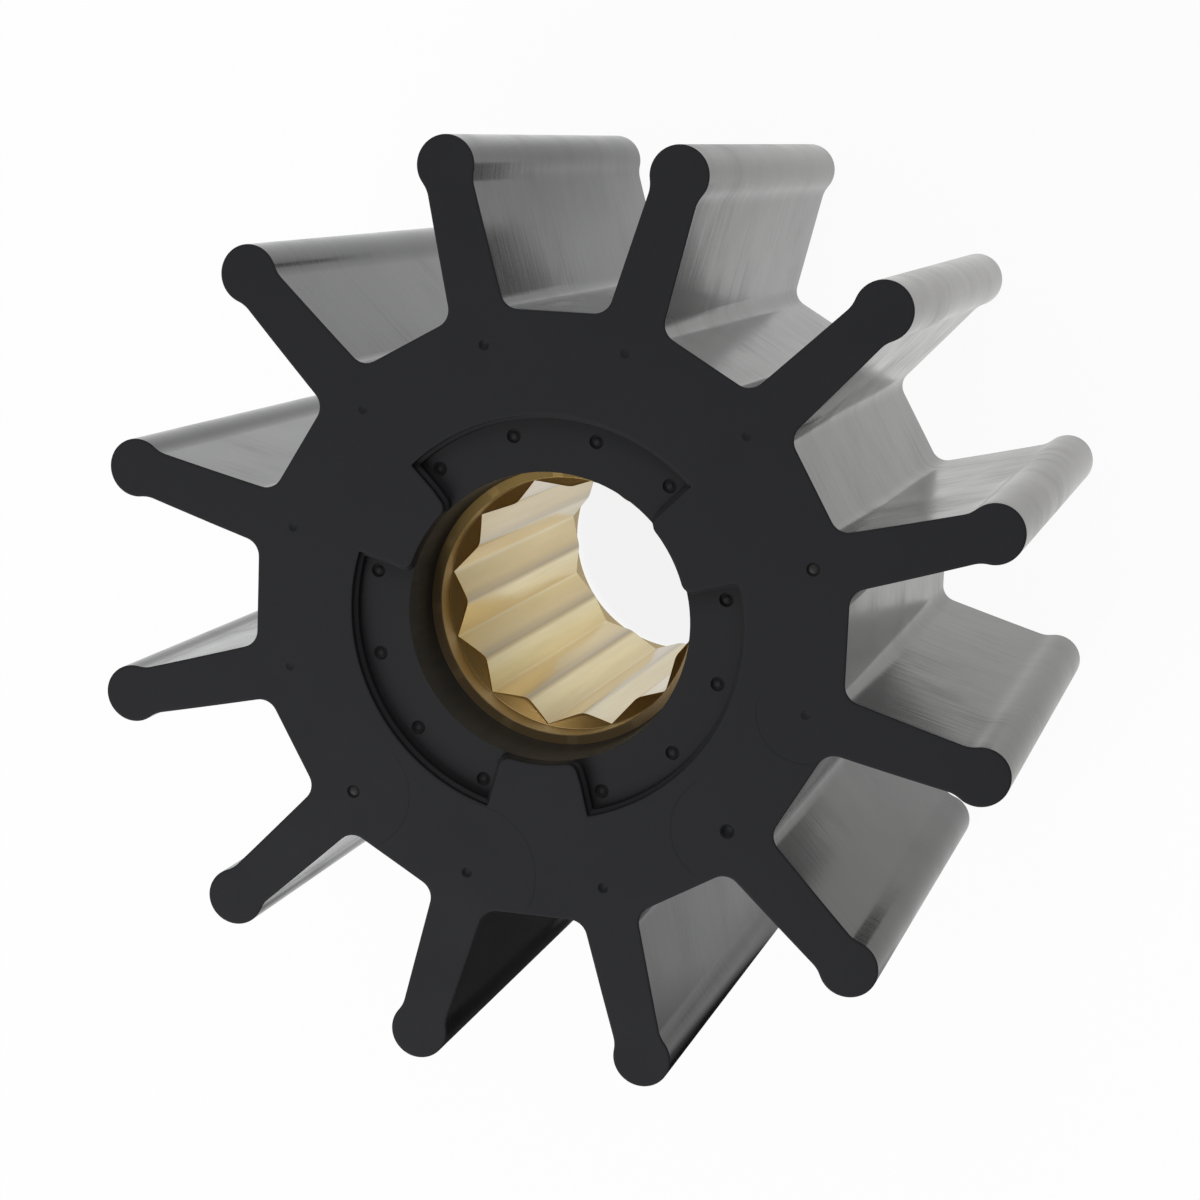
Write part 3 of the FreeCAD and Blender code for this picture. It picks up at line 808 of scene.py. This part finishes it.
# %% Turning marks: fine rings round the axis, left by a lathe tool
def make_ring_group():
    """Rings that depend on the radius and the height only."""
    group, given, result = new_group(
        "Turning", (("Rings per metre", 5000.0),), ("Value", "Radius"))
    place = add_node(group, "ShaderNodeTexCoord").outputs["Object"]
    parts = add_node(group, "ShaderNodeSeparateXYZ")
    feed(group, place, parts.inputs["Vector"])
    x, y, z = parts.outputs
    across = arithmetic(group, "MULTIPLY", x, x)
    radius = arithmetic(group, "SQRT", arithmetic(group, "MULTIPLY_ADD", y, y, across))
    along = add_node(group, "ShaderNodeCombineXYZ")
    feed(group, arithmetic(group, "ADD", radius, z), along.inputs["X"])
    value = noise_value(group, along.outputs["Vector"], given.outputs["Rings per metre"],
                        detail=3.0, rough=0.6)
    feed(group, stretched(group, value, *NOISE_RANGE), result.inputs["Value"])
    feed(group, radius, result.inputs["Radius"])
    return group


TURNING = make_ring_group()
print("Group:", TURNING.name)

# %% Grooves: how far round a groove a place is, and how far it is to either side of the bore
# Along this line both sides of the bore are painted paler in the broached brass, as painted
# reflection
SIDE_ANGLE = math.radians(108)
SIDE_REACH = (6 * MM, 11.5 * MM)


def make_groove_group():
    """Share runs from 0 on one crest to 1 on the next. Side is 1 at both ends of a line across."""
    group, _, result = new_group("Grooves", (), ("Share", "Side"))
    place = add_node(group, "ShaderNodeTexCoord").outputs["Object"]
    parts = add_node(group, "ShaderNodeSeparateXYZ")
    feed(group, place, parts.inputs["Vector"])
    angle = arithmetic(group, "ARCTAN2", parts.outputs["Y"], parts.outputs["X"])
    grooves = arithmetic(group, "MULTIPLY_ADD", angle, 1 / GROOVE_PITCH,
                         0.5 - BUSHING_TURN / GROOVE_PITCH)
    feed(group, arithmetic(group, "FRACT", grooves), result.inputs["Share"])
    across = add_node(group, "ShaderNodeVectorMath", operation="DOT_PRODUCT")
    feed(group, place, across.inputs[0])
    feed(group, turned((1, 0), SIDE_ANGLE).to_3d(), across.inputs[1])
    offset = arithmetic(group, "ABSOLUTE", across.outputs["Value"])
    feed(group, stretched(group, offset, *SIDE_REACH), result.inputs["Side"])
    return group


GROOVE_SHARES = make_groove_group()
print("Group:", GROOVE_SHARES.name)

# %% [markdown]
# ## Rubber
# The rubber is nearly black. The blades' sides and the hub between them keep the smooth skin of a
# polished mould, so at a flat angle they mirror the white surroundings and look grey. The two
# faces are cut and ground level, which leaves them dull and dark. The pockets, the walls with the
# pits, and the bore have dull skins of their own, so one function makes all five from their
# colours and numbers. The pits and the pockets' walls are also painted darker, as painted shade,
# and the bore is painted paler than the rest, as painted light. A picture of rubber could be
# wrapped round the part, but a noise that reads the object's own space has no seams and never
# repeats.
# Where a sleeve of the mould met the front face, it left a faint arc round a pit. Four of these
# are drawn as darker lines, each on a blade's pit, with a radius and the direction it faces.

# %% Witness lines
WITNESS_LINES = (
    (7, 5.9 * MM, -25), (8, 7.1 * MM, 15), (10, 5.65 * MM, 167), (11, 4.8 * MM, 210))
LINE_HALF = 0.1 * MM
LINE_ENDS = (0.45, 0.65)
LINE_SHARE = 0.8
LINE_RUBBER = (0.006, 0.006, 0.007, 1)


def witness_lines(tree):
    """How much of a faint arc there is at each place, from 0 to 1."""
    place = add_node(tree, "ShaderNodeTexCoord").outputs["Object"]
    lines = 0.0
    for blade, radius, facing in WITNESS_LINES:
        centre = turned((FACE_PIT_PLACE, 0), blade * BLADE_PITCH)
        offset = add_node(tree, "ShaderNodeVectorMath", operation="SUBTRACT")
        feed(tree, place, offset.inputs[0])
        feed(tree, Vector((centre.x, centre.y, WIDTH)), offset.inputs[1])
        length = add_node(tree, "ShaderNodeVectorMath", operation="LENGTH")
        feed(tree, offset.outputs["Vector"], length.inputs[0])
        ahead = add_node(tree, "ShaderNodeVectorMath", operation="DOT_PRODUCT")
        feed(tree, offset.outputs["Vector"], ahead.inputs[0])
        feed(tree, turned((1 / radius, 0), math.radians(facing)).to_3d(), ahead.inputs[1])
        away = arithmetic(tree, "ABSOLUTE", arithmetic(
            tree, "SUBTRACT", length.outputs["Value"], radius))
        line = arithmetic(tree, "MULTIPLY", stretched(tree, away, LINE_HALF, 0.0),
                          stretched(tree, ahead.outputs["Value"], *LINE_ENDS))
        lines = arithmetic(tree, "MAXIMUM", lines, line)
    return arithmetic(tree, "MULTIPLY", lines, LINE_SHARE)


print("Witness lines:", len(WITNESS_LINES))

# %% One skin of the rubber
CLOUDS_IN_COLOUR = 0.6
CLOUDS_IN_MARKS = 0.6
MARKS = {"Streaks_per_metre": 1100.0, "Length": 14.0}


def make_rubber_material(name, dark, light, smooth, rough, gloss, grain_height,
                         marks=None, marks_height=0.0, lined=False):
    """Rubber with a skin that runs from smooth to rough in clouds and drawn marks."""
    material = bpy.data.materials.new(name)
    material.use_nodes = True
    tree = material.node_tree
    shader = tree.nodes["Principled BSDF"]
    grain = place_group(tree, GRAIN, Grain_per_metre=5200.0, Clouds_per_metre=110.0)
    clouds, height = grain.outputs["Clouds"], grain.outputs["Height"]
    fine = arithmetic(tree, "MULTIPLY", height, 1 - CLOUDS_IN_COLOUR)
    speckle = arithmetic(tree, "MULTIPLY_ADD", clouds, CLOUDS_IN_COLOUR, fine)
    colour = blend_colours(tree, speckle, dark, light)
    if lined:
        colour = blend_colours(tree, witness_lines(tree), colour, LINE_RUBBER)
    uneven = clouds
    if marks:
        drawn = place_group(tree, marks, **MARKS).outputs["Value"]
        clear = arithmetic(tree, "MULTIPLY", clouds, 1 - CLOUDS_IN_MARKS)
        marked = arithmetic(tree, "MULTIPLY", clouds, drawn)
        uneven = arithmetic(tree, "MULTIPLY_ADD", marked, CLOUDS_IN_MARKS, clear)
        height = arithmetic(tree, "MULTIPLY_ADD", drawn, marks_height / grain_height, height)
    feed(tree, colour, shader.inputs["Base Color"])
    feed(tree, arithmetic(tree, "MULTIPLY_ADD", uneven, rough - smooth, smooth),
         shader.inputs["Roughness"])
    shader.inputs["Specular IOR Level"].default_value = gloss
    bump = add_node(tree, "ShaderNodeBump")
    bump.inputs["Distance"].default_value = grain_height
    bump.inputs["Strength"].default_value = 1.0
    feed(tree, height, bump.inputs["Height"])
    feed(tree, bump.outputs["Normal"], shader.inputs["Normal"])
    return material


# %% The five skins of the rubber
rubber_sides = make_rubber_material(
    "rubber, moulded skin", dark=(0.008, 0.0084, 0.0086, 1), light=(0.012, 0.0124, 0.0126, 1),
    smooth=0.12, rough=0.26, gloss=0.5, grain_height=0.0008 * MM,
    marks=POLISH, marks_height=0.005 * MM)
rubber_faces = make_rubber_material(
    "rubber, ground face", dark=(0.0114, 0.0116, 0.0138, 1), light=(0.016, 0.0162, 0.0189, 1),
    smooth=0.58, rough=0.72, gloss=0.25, grain_height=0.012 * MM, lined=True)
rubber_floors = make_rubber_material(
    "rubber, pocket", dark=(0.0118, 0.012, 0.0138, 1), light=(0.0158, 0.016, 0.0178, 1),
    smooth=0.56, rough=0.7, gloss=0.25, grain_height=0.01 * MM)
# Darker than the faces and the pocket floors, as painted shade in the pits and on the walls
rubber_shaded_hollows = make_rubber_material(
    "rubber, pits and walls", dark=(0.0085, 0.0087, 0.0098, 1), light=(0.0115, 0.0118, 0.013, 1),
    smooth=0.55, rough=0.7, gloss=0.2, grain_height=0.006 * MM)
# Paler than the rest of the rubber, as painted light that lifts the shade in the bore
rubber_bore_painted_light = make_rubber_material(
    "rubber, bore", dark=(0.02, 0.0195, 0.019, 1), light=(0.027, 0.0265, 0.0255, 1),
    smooth=0.5, rough=0.65, gloss=0.3, grain_height=0.01 * MM,
    marks=STREAKS, marks_height=0.004 * MM)
rubber_skins = [rubber_sides, rubber_faces, rubber_floors, rubber_bore_painted_light, rubber_shaded_hollows]
print("Rubber materials:", len(rubber_skins))

# %% [markdown]
# ## Brass
# Bare brass with no lacquer. The ends and cones are turned, so they carry fine rings, and they have
# dulled to gold and brown; the ends are also painted lighter to the lower left, as painted light,
# and deeper gold towards +Y, as painted shade. The spline is broached, so its flanks carry straight
# streaks along the bore. They are paler, because cut brass is only a little yellow where it mirrors
# something white. The tints could be painted on a flat picture of the spline, but a ramp that runs
# across each groove needs none: it paints shade and reflection into the colour, dark on the crests
# and pale on the flanks all the way down, and two sides of the bore are painted paler still, as
# painted reflection.

# %% Helpers for brass
def brass_shader(name):
    """A metal material, its tree and its shader."""
    material = bpy.data.materials.new(name)
    material.use_nodes = True
    shader = material.node_tree.nodes["Principled BSDF"]
    shader.inputs["Metallic"].default_value = 1.0
    return material, material.node_tree, shader


def score(tree, shader, height, value):
    """Press a value into the surface as fine marks."""
    bump = add_node(tree, "ShaderNodeBump")
    bump.inputs["Distance"].default_value = height
    bump.inputs["Strength"].default_value = 1.0
    feed(tree, value, bump.inputs["Height"])
    feed(tree, bump.outputs["Normal"], shader.inputs["Normal"])


# %% Turned brass
TURNED_GOLD = (0.66, 0.44, 0.17, 1)
TURNED_BROWN = (0.5, 0.31, 0.1, 1)
COUNTERBORE_GOLD = (0.72, 0.56, 0.29, 1)
# On the ends, the lighter brown is painted light and the deeper gold towards +Y painted shade
END_PAINTED_LIGHT_BROWN = (0.38, 0.27, 0.14, 1)
END_PAINTED_SHADE_GOLD = (0.32, 0.22, 0.08, 1)
WALL_FROM = (COUNTERBORE_RADIUS - 0.06 * MM, COUNTERBORE_RADIUS - 0.02 * MM)
END_FROM = (COUNTERBORE_RADIUS, COUNTERBORE_RADIUS + 0.03 * MM)
END_SHADE_FROM = (2 * MM, 11 * MM)
TURNED_ROUGHNESS = 0.3
WALL_ROUGHER = 0.17
RINGS_ROUGHER = 0.14
RINGS_HEIGHT = 0.004 * MM


def make_turned_brass():
    """Turned brass: fine rings, a paler counterbore, and an end with painted light and shade towards
    +Y.
    """
    material, tree, shader = brass_shader("brass, turned")
    rings = place_group(tree, TURNING, Rings_per_metre=6000.0)
    radius = rings.outputs["Radius"]
    fresh = blend_colours(tree, rings.outputs["Value"], TURNED_GOLD, TURNED_BROWN)
    wall = stretched(tree, radius, *WALL_FROM)
    end = stretched(tree, radius, *END_FROM)
    parts = add_node(tree, "ShaderNodeSeparateXYZ")
    feed(tree, add_node(tree, "ShaderNodeTexCoord").outputs["Object"], parts.inputs["Vector"])
    # The end turns from painted light to painted shade towards +Y
    gold = stretched(tree, parts.outputs["Y"], *END_SHADE_FROM)
    colour = blend_colours(tree, wall, fresh, COUNTERBORE_GOLD)
    colour = blend_colours(tree, end, colour, blend_colours(tree, gold, END_PAINTED_LIGHT_BROWN, END_PAINTED_SHADE_GOLD))
    feed(tree, colour, shader.inputs["Base Color"])
    dull = arithmetic(tree, "MULTIPLY_ADD", wall, WALL_ROUGHER, TURNED_ROUGHNESS)
    feed(tree, arithmetic(tree, "MULTIPLY_ADD", rings.outputs["Value"], RINGS_ROUGHER, dull),
         shader.inputs["Roughness"])
    score(tree, shader, RINGS_HEIGHT, rings.outputs["Value"])
    return material


brass_turned = make_turned_brass()
print("Material:", brass_turned.name)

# %% Broached brass
BROACHED_BROWN = (0.6, 0.44, 0.16, 1)
BROACHED_PAINTED_REFLECTION = (0.9, 0.84, 0.72, 1)
# Painted shade and reflection across a groove: dark on the crests, bright just after each crest
PAINTED_LIGHT_ACROSS_A_GROOVE = (
    (0.0, (0.4, 0.32, 0.18, 1)), (0.04, (0.66, 0.52, 0.26, 1)), (0.09, (1.0, 0.86, 0.5, 1)),
    (0.3, (0.94, 0.76, 0.35, 1)), (0.48, (0.84, 0.63, 0.24, 1)), (0.51, (0.95, 0.8, 0.46, 1)),
    (0.55, (0.84, 0.64, 0.26, 1)), (0.82, (0.76, 0.58, 0.27, 1)), (0.94, (0.54, 0.43, 0.25, 1)),
    (1.0, (0.4, 0.32, 0.18, 1)))
PAINTED_REFLECTION_SHARE = 0.45
BROWN_SHARE = 0.35
BANDS_IN_ROUGHNESS = 0.6
BROACHED_ROUGHNESS = 0.1
MARKS_ROUGHER = 0.14
SCRATCH_HEIGHT = 0.0012 * MM


def make_broached_brass():
    """Broached brass: painted shade and reflection, broad bands and fine scratches along the bore.
    """
    material, tree, shader = brass_shader("brass, broached")
    bands = place_group(tree, STREAKS, Streaks_per_metre=420.0, Length=16.0)
    scratches = place_group(tree, STREAKS, Streaks_per_metre=2600.0, Length=60.0)
    grooves = place_group(tree, GROOVE_SHARES)
    # The ramp paints shade and reflection across each groove
    across = colour_ramp(tree, grooves.outputs["Share"], PAINTED_LIGHT_ACROSS_A_GROOVE)
    # Two sides of the bore are painted paler, as painted reflection
    paler = arithmetic(tree, "MULTIPLY", grooves.outputs["Side"], PAINTED_REFLECTION_SHARE)
    across = blend_colours(tree, paler, across, BROACHED_PAINTED_REFLECTION)
    browner = arithmetic(tree, "MULTIPLY", bands.outputs["Value"], BROWN_SHARE)
    feed(tree, blend_colours(tree, browner, across, BROACHED_BROWN), shader.inputs["Base Color"])
    broad = arithmetic(tree, "MULTIPLY", bands.outputs["Value"], BANDS_IN_ROUGHNESS)
    uneven = arithmetic(tree, "MULTIPLY_ADD", scratches.outputs["Value"],
                        1 - BANDS_IN_ROUGHNESS, broad)
    feed(tree, arithmetic(tree, "MULTIPLY_ADD", uneven, MARKS_ROUGHER, BROACHED_ROUGHNESS),
         shader.inputs["Roughness"])
    score(tree, shader, SCRATCH_HEIGHT, scratches.outputs["Value"])
    return material


brass_broached = make_broached_brass()
print("Material:", brass_broached.name)

# %% [markdown]
# ## Making both pieces
# With the shapes and the skins ready, both pieces are made here. The brass is moulded into the
# rubber, so nothing moves, and both ride on the part's one body. They could be one mesh, but each
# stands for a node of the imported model, so each stays a closed mesh of its own.

# %% Make the two pieces
pieces = [make_rubber(rubber_skins), make_bushing([brass_turned, brass_broached])]
print("Pieces:", [piece.name for piece in pieces])

# %% [markdown]
# ## Floor and surroundings
# The impeller stands on a plain white table. The camera sees the table nearly as pure white, with
# a small share of real matte surface that takes the shadow. Mirror-like rays need more care,
# because nearly all the light on the upright sides of the blades is the table mirrored in them.
# For those rays the table is a little less than white, warmer to the right, darker towards the
# lower right and dimmer inside the bore, so these levels paint the reflections in the sides. A few
# soft round places are duller or lighter still, and two below the lower blades are nearly black:
# painted shade that the blades' sides mirror there. A room could be built round the part instead,
# but then each change for the mirrors would also change the background and the shadow.

# %% The table as mirrors see it
TABLE_MIRRORED = 0.85
# How much the level changes over a metre towards +X and towards +Y
TABLE_FALL = Vector((-1.3, 2.5, 0.0))
TABLE_RANGE = (0.6, 1.05)
# A soft place has a centre, an inner and an outer reach, in millimetres, and a share that it takes
# The dark places are painted shade, which only reflections show
SOFT_PLACES = {
    "dull": ((14, 52), (6, 16), 0.24),
    "light": ((32, 5), (22, 34), -0.08),
    "dark": ((-16, -70), (23, 35), 0.955),
    "dark end": ((12, -86), (22, 34), 0.8),
}
COOL_WHITE = (0.998, 1.0, 1.006, 1)
WARM_WHITE = (1.005, 1.0, 0.975, 1)
WARM_FROM = (10 * MM, 50 * MM)
BORE_BRIGHT, BORE_DIM = 0.7, 0.4
BORE_LIT_PLACE = Vector((-5 * MM, -3 * MM, 0.0))
BORE_LIT_REACH = (7 * MM, 18 * MM)


def near(tree, place, centre, inner, outer):
    """1 within the inner distance of a point, falling to 0 at the outer one."""
    distance = add_node(tree, "ShaderNodeVectorMath", operation="DISTANCE")
    feed(tree, place, distance.inputs[0])
    feed(tree, centre, distance.inputs[1])
    return stretched(tree, distance.outputs["Value"], outer, inner)


def mirrored_colour(tree, place, in_bore):
    """The colour that mirror-like rays find at each place on the table."""
    slope = add_node(tree, "ShaderNodeVectorMath", operation="DOT_PRODUCT")
    feed(tree, place, slope.inputs[0])
    feed(tree, TABLE_FALL, slope.inputs[1])
    level = arithmetic(tree, "ADD", slope.outputs["Value"], TABLE_MIRRORED)
    level = arithmetic(tree, "MAXIMUM", level, TABLE_RANGE[0])
    level = arithmetic(tree, "MINIMUM", level, TABLE_RANGE[1])
    for (x, y), (inner, outer), share in SOFT_PLACES.values():
        close = near(tree, place, Vector((x * MM, y * MM, 0.0)), inner * MM, outer * MM)
        kept = arithmetic(tree, "MULTIPLY_ADD", close, -share, 1.0)
        level = arithmetic(tree, "MULTIPLY", level, kept)
    lit = near(tree, place, BORE_LIT_PLACE, *BORE_LIT_REACH)
    bore_level = arithmetic(tree, "MULTIPLY_ADD", lit, BORE_BRIGHT - BORE_DIM, BORE_DIM)
    level = blend_colours(tree, in_bore, level, bore_level)
    parts = add_node(tree, "ShaderNodeSeparateXYZ")
    feed(tree, place, parts.inputs["Vector"])
    warmth = stretched(tree, parts.outputs["X"], *WARM_FROM)
    tint = add_node(tree, "ShaderNodeVectorMath", operation="MULTIPLY")
    feed(tree, blend_colours(tree, warmth, COOL_WHITE, WARM_WHITE), tint.inputs[0])
    feed(tree, level, tint.inputs[1])
    return tint.outputs["Vector"]


print("Soft places:", ", ".join(SOFT_PLACES))

# %% The table's material
TABLE_GREY = (0.86, 0.86, 0.86, 1)
TABLE_ROUGHNESS = 0.9
CAMERA_WHITE = 0.95
# Inside the bore the camera's white is dimmed, as painted shade
BORE_PAINTED_SHADE_WHITE = 0.93


def make_table():
    """White for the camera, a matte surface for the light, and a third look for mirrors."""
    material = bpy.data.materials.new("white table")
    material.use_nodes = True
    tree = material.node_tree
    shader = tree.nodes["Principled BSDF"]
    shader.inputs["Base Color"].default_value = TABLE_GREY
    shader.inputs["Roughness"].default_value = TABLE_ROUGHNESS
    shader.inputs["Specular IOR Level"].default_value = 0.0

    place = add_node(tree, "ShaderNodeTexCoord").outputs["Object"]
    in_bore = near(tree, place, Vector(), LAND_RADIUS, LAND_RADIUS + MM)
    mirrored = add_node(tree, "ShaderNodeEmission")
    feed(tree, mirrored_colour(tree, place, in_bore), mirrored.inputs["Color"])
    path = add_node(tree, "ShaderNodeLightPath")
    white = add_node(tree, "ShaderNodeEmission")
    # The floor in the bore is dimmed for the camera, as painted shade
    shaded = arithmetic(tree, "MULTIPLY_ADD", in_bore, BORE_PAINTED_SHADE_WHITE - 1.0, 1.0)
    feed(tree, shaded, white.inputs["Strength"])
    for_camera = add_node(tree, "ShaderNodeMixShader")
    seen = arithmetic(tree, "MAXIMUM", path.outputs["Is Camera Ray"],
                      path.outputs["Is Transmission Ray"])
    feed(tree, arithmetic(tree, "MULTIPLY", seen, CAMERA_WHITE), for_camera.inputs["Fac"])
    feed(tree, shader.outputs["BSDF"], for_camera.inputs[1])
    feed(tree, white.outputs["Emission"], for_camera.inputs[2])
    for_mirrors = add_node(tree, "ShaderNodeMixShader")
    feed(tree, path.outputs["Is Glossy Ray"], for_mirrors.inputs["Fac"])
    feed(tree, for_camera.outputs["Shader"], for_mirrors.inputs[1])
    feed(tree, mirrored.outputs["Emission"], for_mirrors.inputs[2])
    feed(tree, for_mirrors.outputs["Shader"], tree.nodes["Material Output"].inputs["Surface"])
    return material


white_table = make_table()
print("Material:", white_table.name)

# %% The floor
FLOOR_SIDE = 6.0
FLOOR_GAP = 0.05 * MM


def make_floor():
    """A wide plain floor just under the rear face."""
    mesh = bmesh.new()
    bmesh.ops.create_grid(mesh, x_segments=1, y_segments=1, size=FLOOR_SIDE / 2)
    data = bpy.data.meshes.new("floor")
    mesh.to_mesh(data)
    mesh.free()
    floor = bpy.data.objects.new("floor", data)
    floor.location.z = rubber_low.z - FLOOR_GAP
    bpy.context.scene.collection.objects.link(floor)
    data.materials.append(white_table)


make_floor()
print("Floor of %.0f m" % FLOOR_SIDE)

# %% [markdown]
# ## World
# The camera sees the world as white, like the table, so the part stands before plain white.
# Mirror-like rays see a room that is white low down and darker overhead, which keeps the brass and
# the bevels from going flat, and all other light is an even grey. A picture of a real studio is
# often used for this, but two plain colours and a height are easier to tune.

# %% World
HORIZON = (1.0, 1.0, 1.0, 1)
CEILING = (0.12, 0.122, 0.125, 1)
CEILING_FROM = (0.02, 0.3)
ROOM_LIGHT = (0.45, 0.45, 0.45, 1)


def make_world():
    """White for the camera, a room with a darker ceiling for mirrors, and grey for the rest."""
    world = bpy.data.worlds.new("studio")
    bpy.context.scene.world = world
    world.use_nodes = True
    tree = world.node_tree
    background = tree.nodes["Background"]
    direction = add_node(tree, "ShaderNodeTexCoord").outputs["Generated"]
    parts = add_node(tree, "ShaderNodeSeparateXYZ")
    feed(tree, direction, parts.inputs["Vector"])
    height = stretched(tree, parts.outputs["Z"], *CEILING_FROM)
    room = blend_colours(tree, height, HORIZON, CEILING)
    path = add_node(tree, "ShaderNodeLightPath")
    lit = blend_colours(tree, path.outputs["Is Glossy Ray"], ROOM_LIGHT, room)
    shown = blend_colours(tree, path.outputs["Is Camera Ray"], lit, HORIZON)
    feed(tree, shown, background.inputs["Color"])


make_world()
print("World:", bpy.context.scene.world.name)

# %% [markdown]
# ## Lamps
# One broad soft lamp stands on the lower left of the picture, so the walls of the pockets on that
# side stay dark, and a smaller one at the top draws the highlight in the bushing's cone. Point
# lamps would be simpler, but they leave hard spots on the beads and sharp shadows. Together the
# two give a plain level of light: a colour comes out about as it is written.

# %% Lamps
def add_lamp(name, place, aim, side, power):
    """A square soft lamp that looks at a point."""
    data = bpy.data.lights.new(name, "AREA")
    data.energy = power
    data.size = side
    lamp = bpy.data.objects.new(name, data)
    lamp.location = place
    lamp.rotation_euler = (Vector(aim) - Vector(place)).to_track_quat("-Z", "Y").to_euler()
    bpy.context.scene.collection.objects.link(lamp)


object_middle = Vector((0, 0, WIDTH / 2))
add_lamp("key lamp", (-0.5, -0.42, 0.62), object_middle, side=0.5, power=4.4)
add_lamp("fill lamp", (0.13, 0.56, 0.5), object_middle, side=0.3, power=1.2)

# %% [markdown]
# ## Camera
# The camera looks down at the front face from a quarter of a metre above it, a little from the
# right. Its place was worked out from the blades' tips and the bore. It is also turned about its
# own line of sight, so no blade stands straight up in the picture.

# %% Camera
CAMERA_PLACE = Vector((83.928, 27.791, 317.957))
CAMERA_TURNS = (-9.31439, 15.38877, -12.65499)
camera_data = bpy.data.cameras.new("camera")
camera_data.sensor_width = 36.0
camera_data.lens = 83.459
camera = bpy.data.objects.new("camera", camera_data)
camera.location = CAMERA_PLACE * MM
camera.rotation_euler = Euler([math.radians(turn) for turn in CAMERA_TURNS])
bpy.context.scene.collection.objects.link(camera)
bpy.context.scene.camera = camera
bpy.context.scene.view_settings.view_transform = "Standard"
print("Camera %.0f mm above the front face" % (CAMERA_PLACE.z - WIDTH / MM))
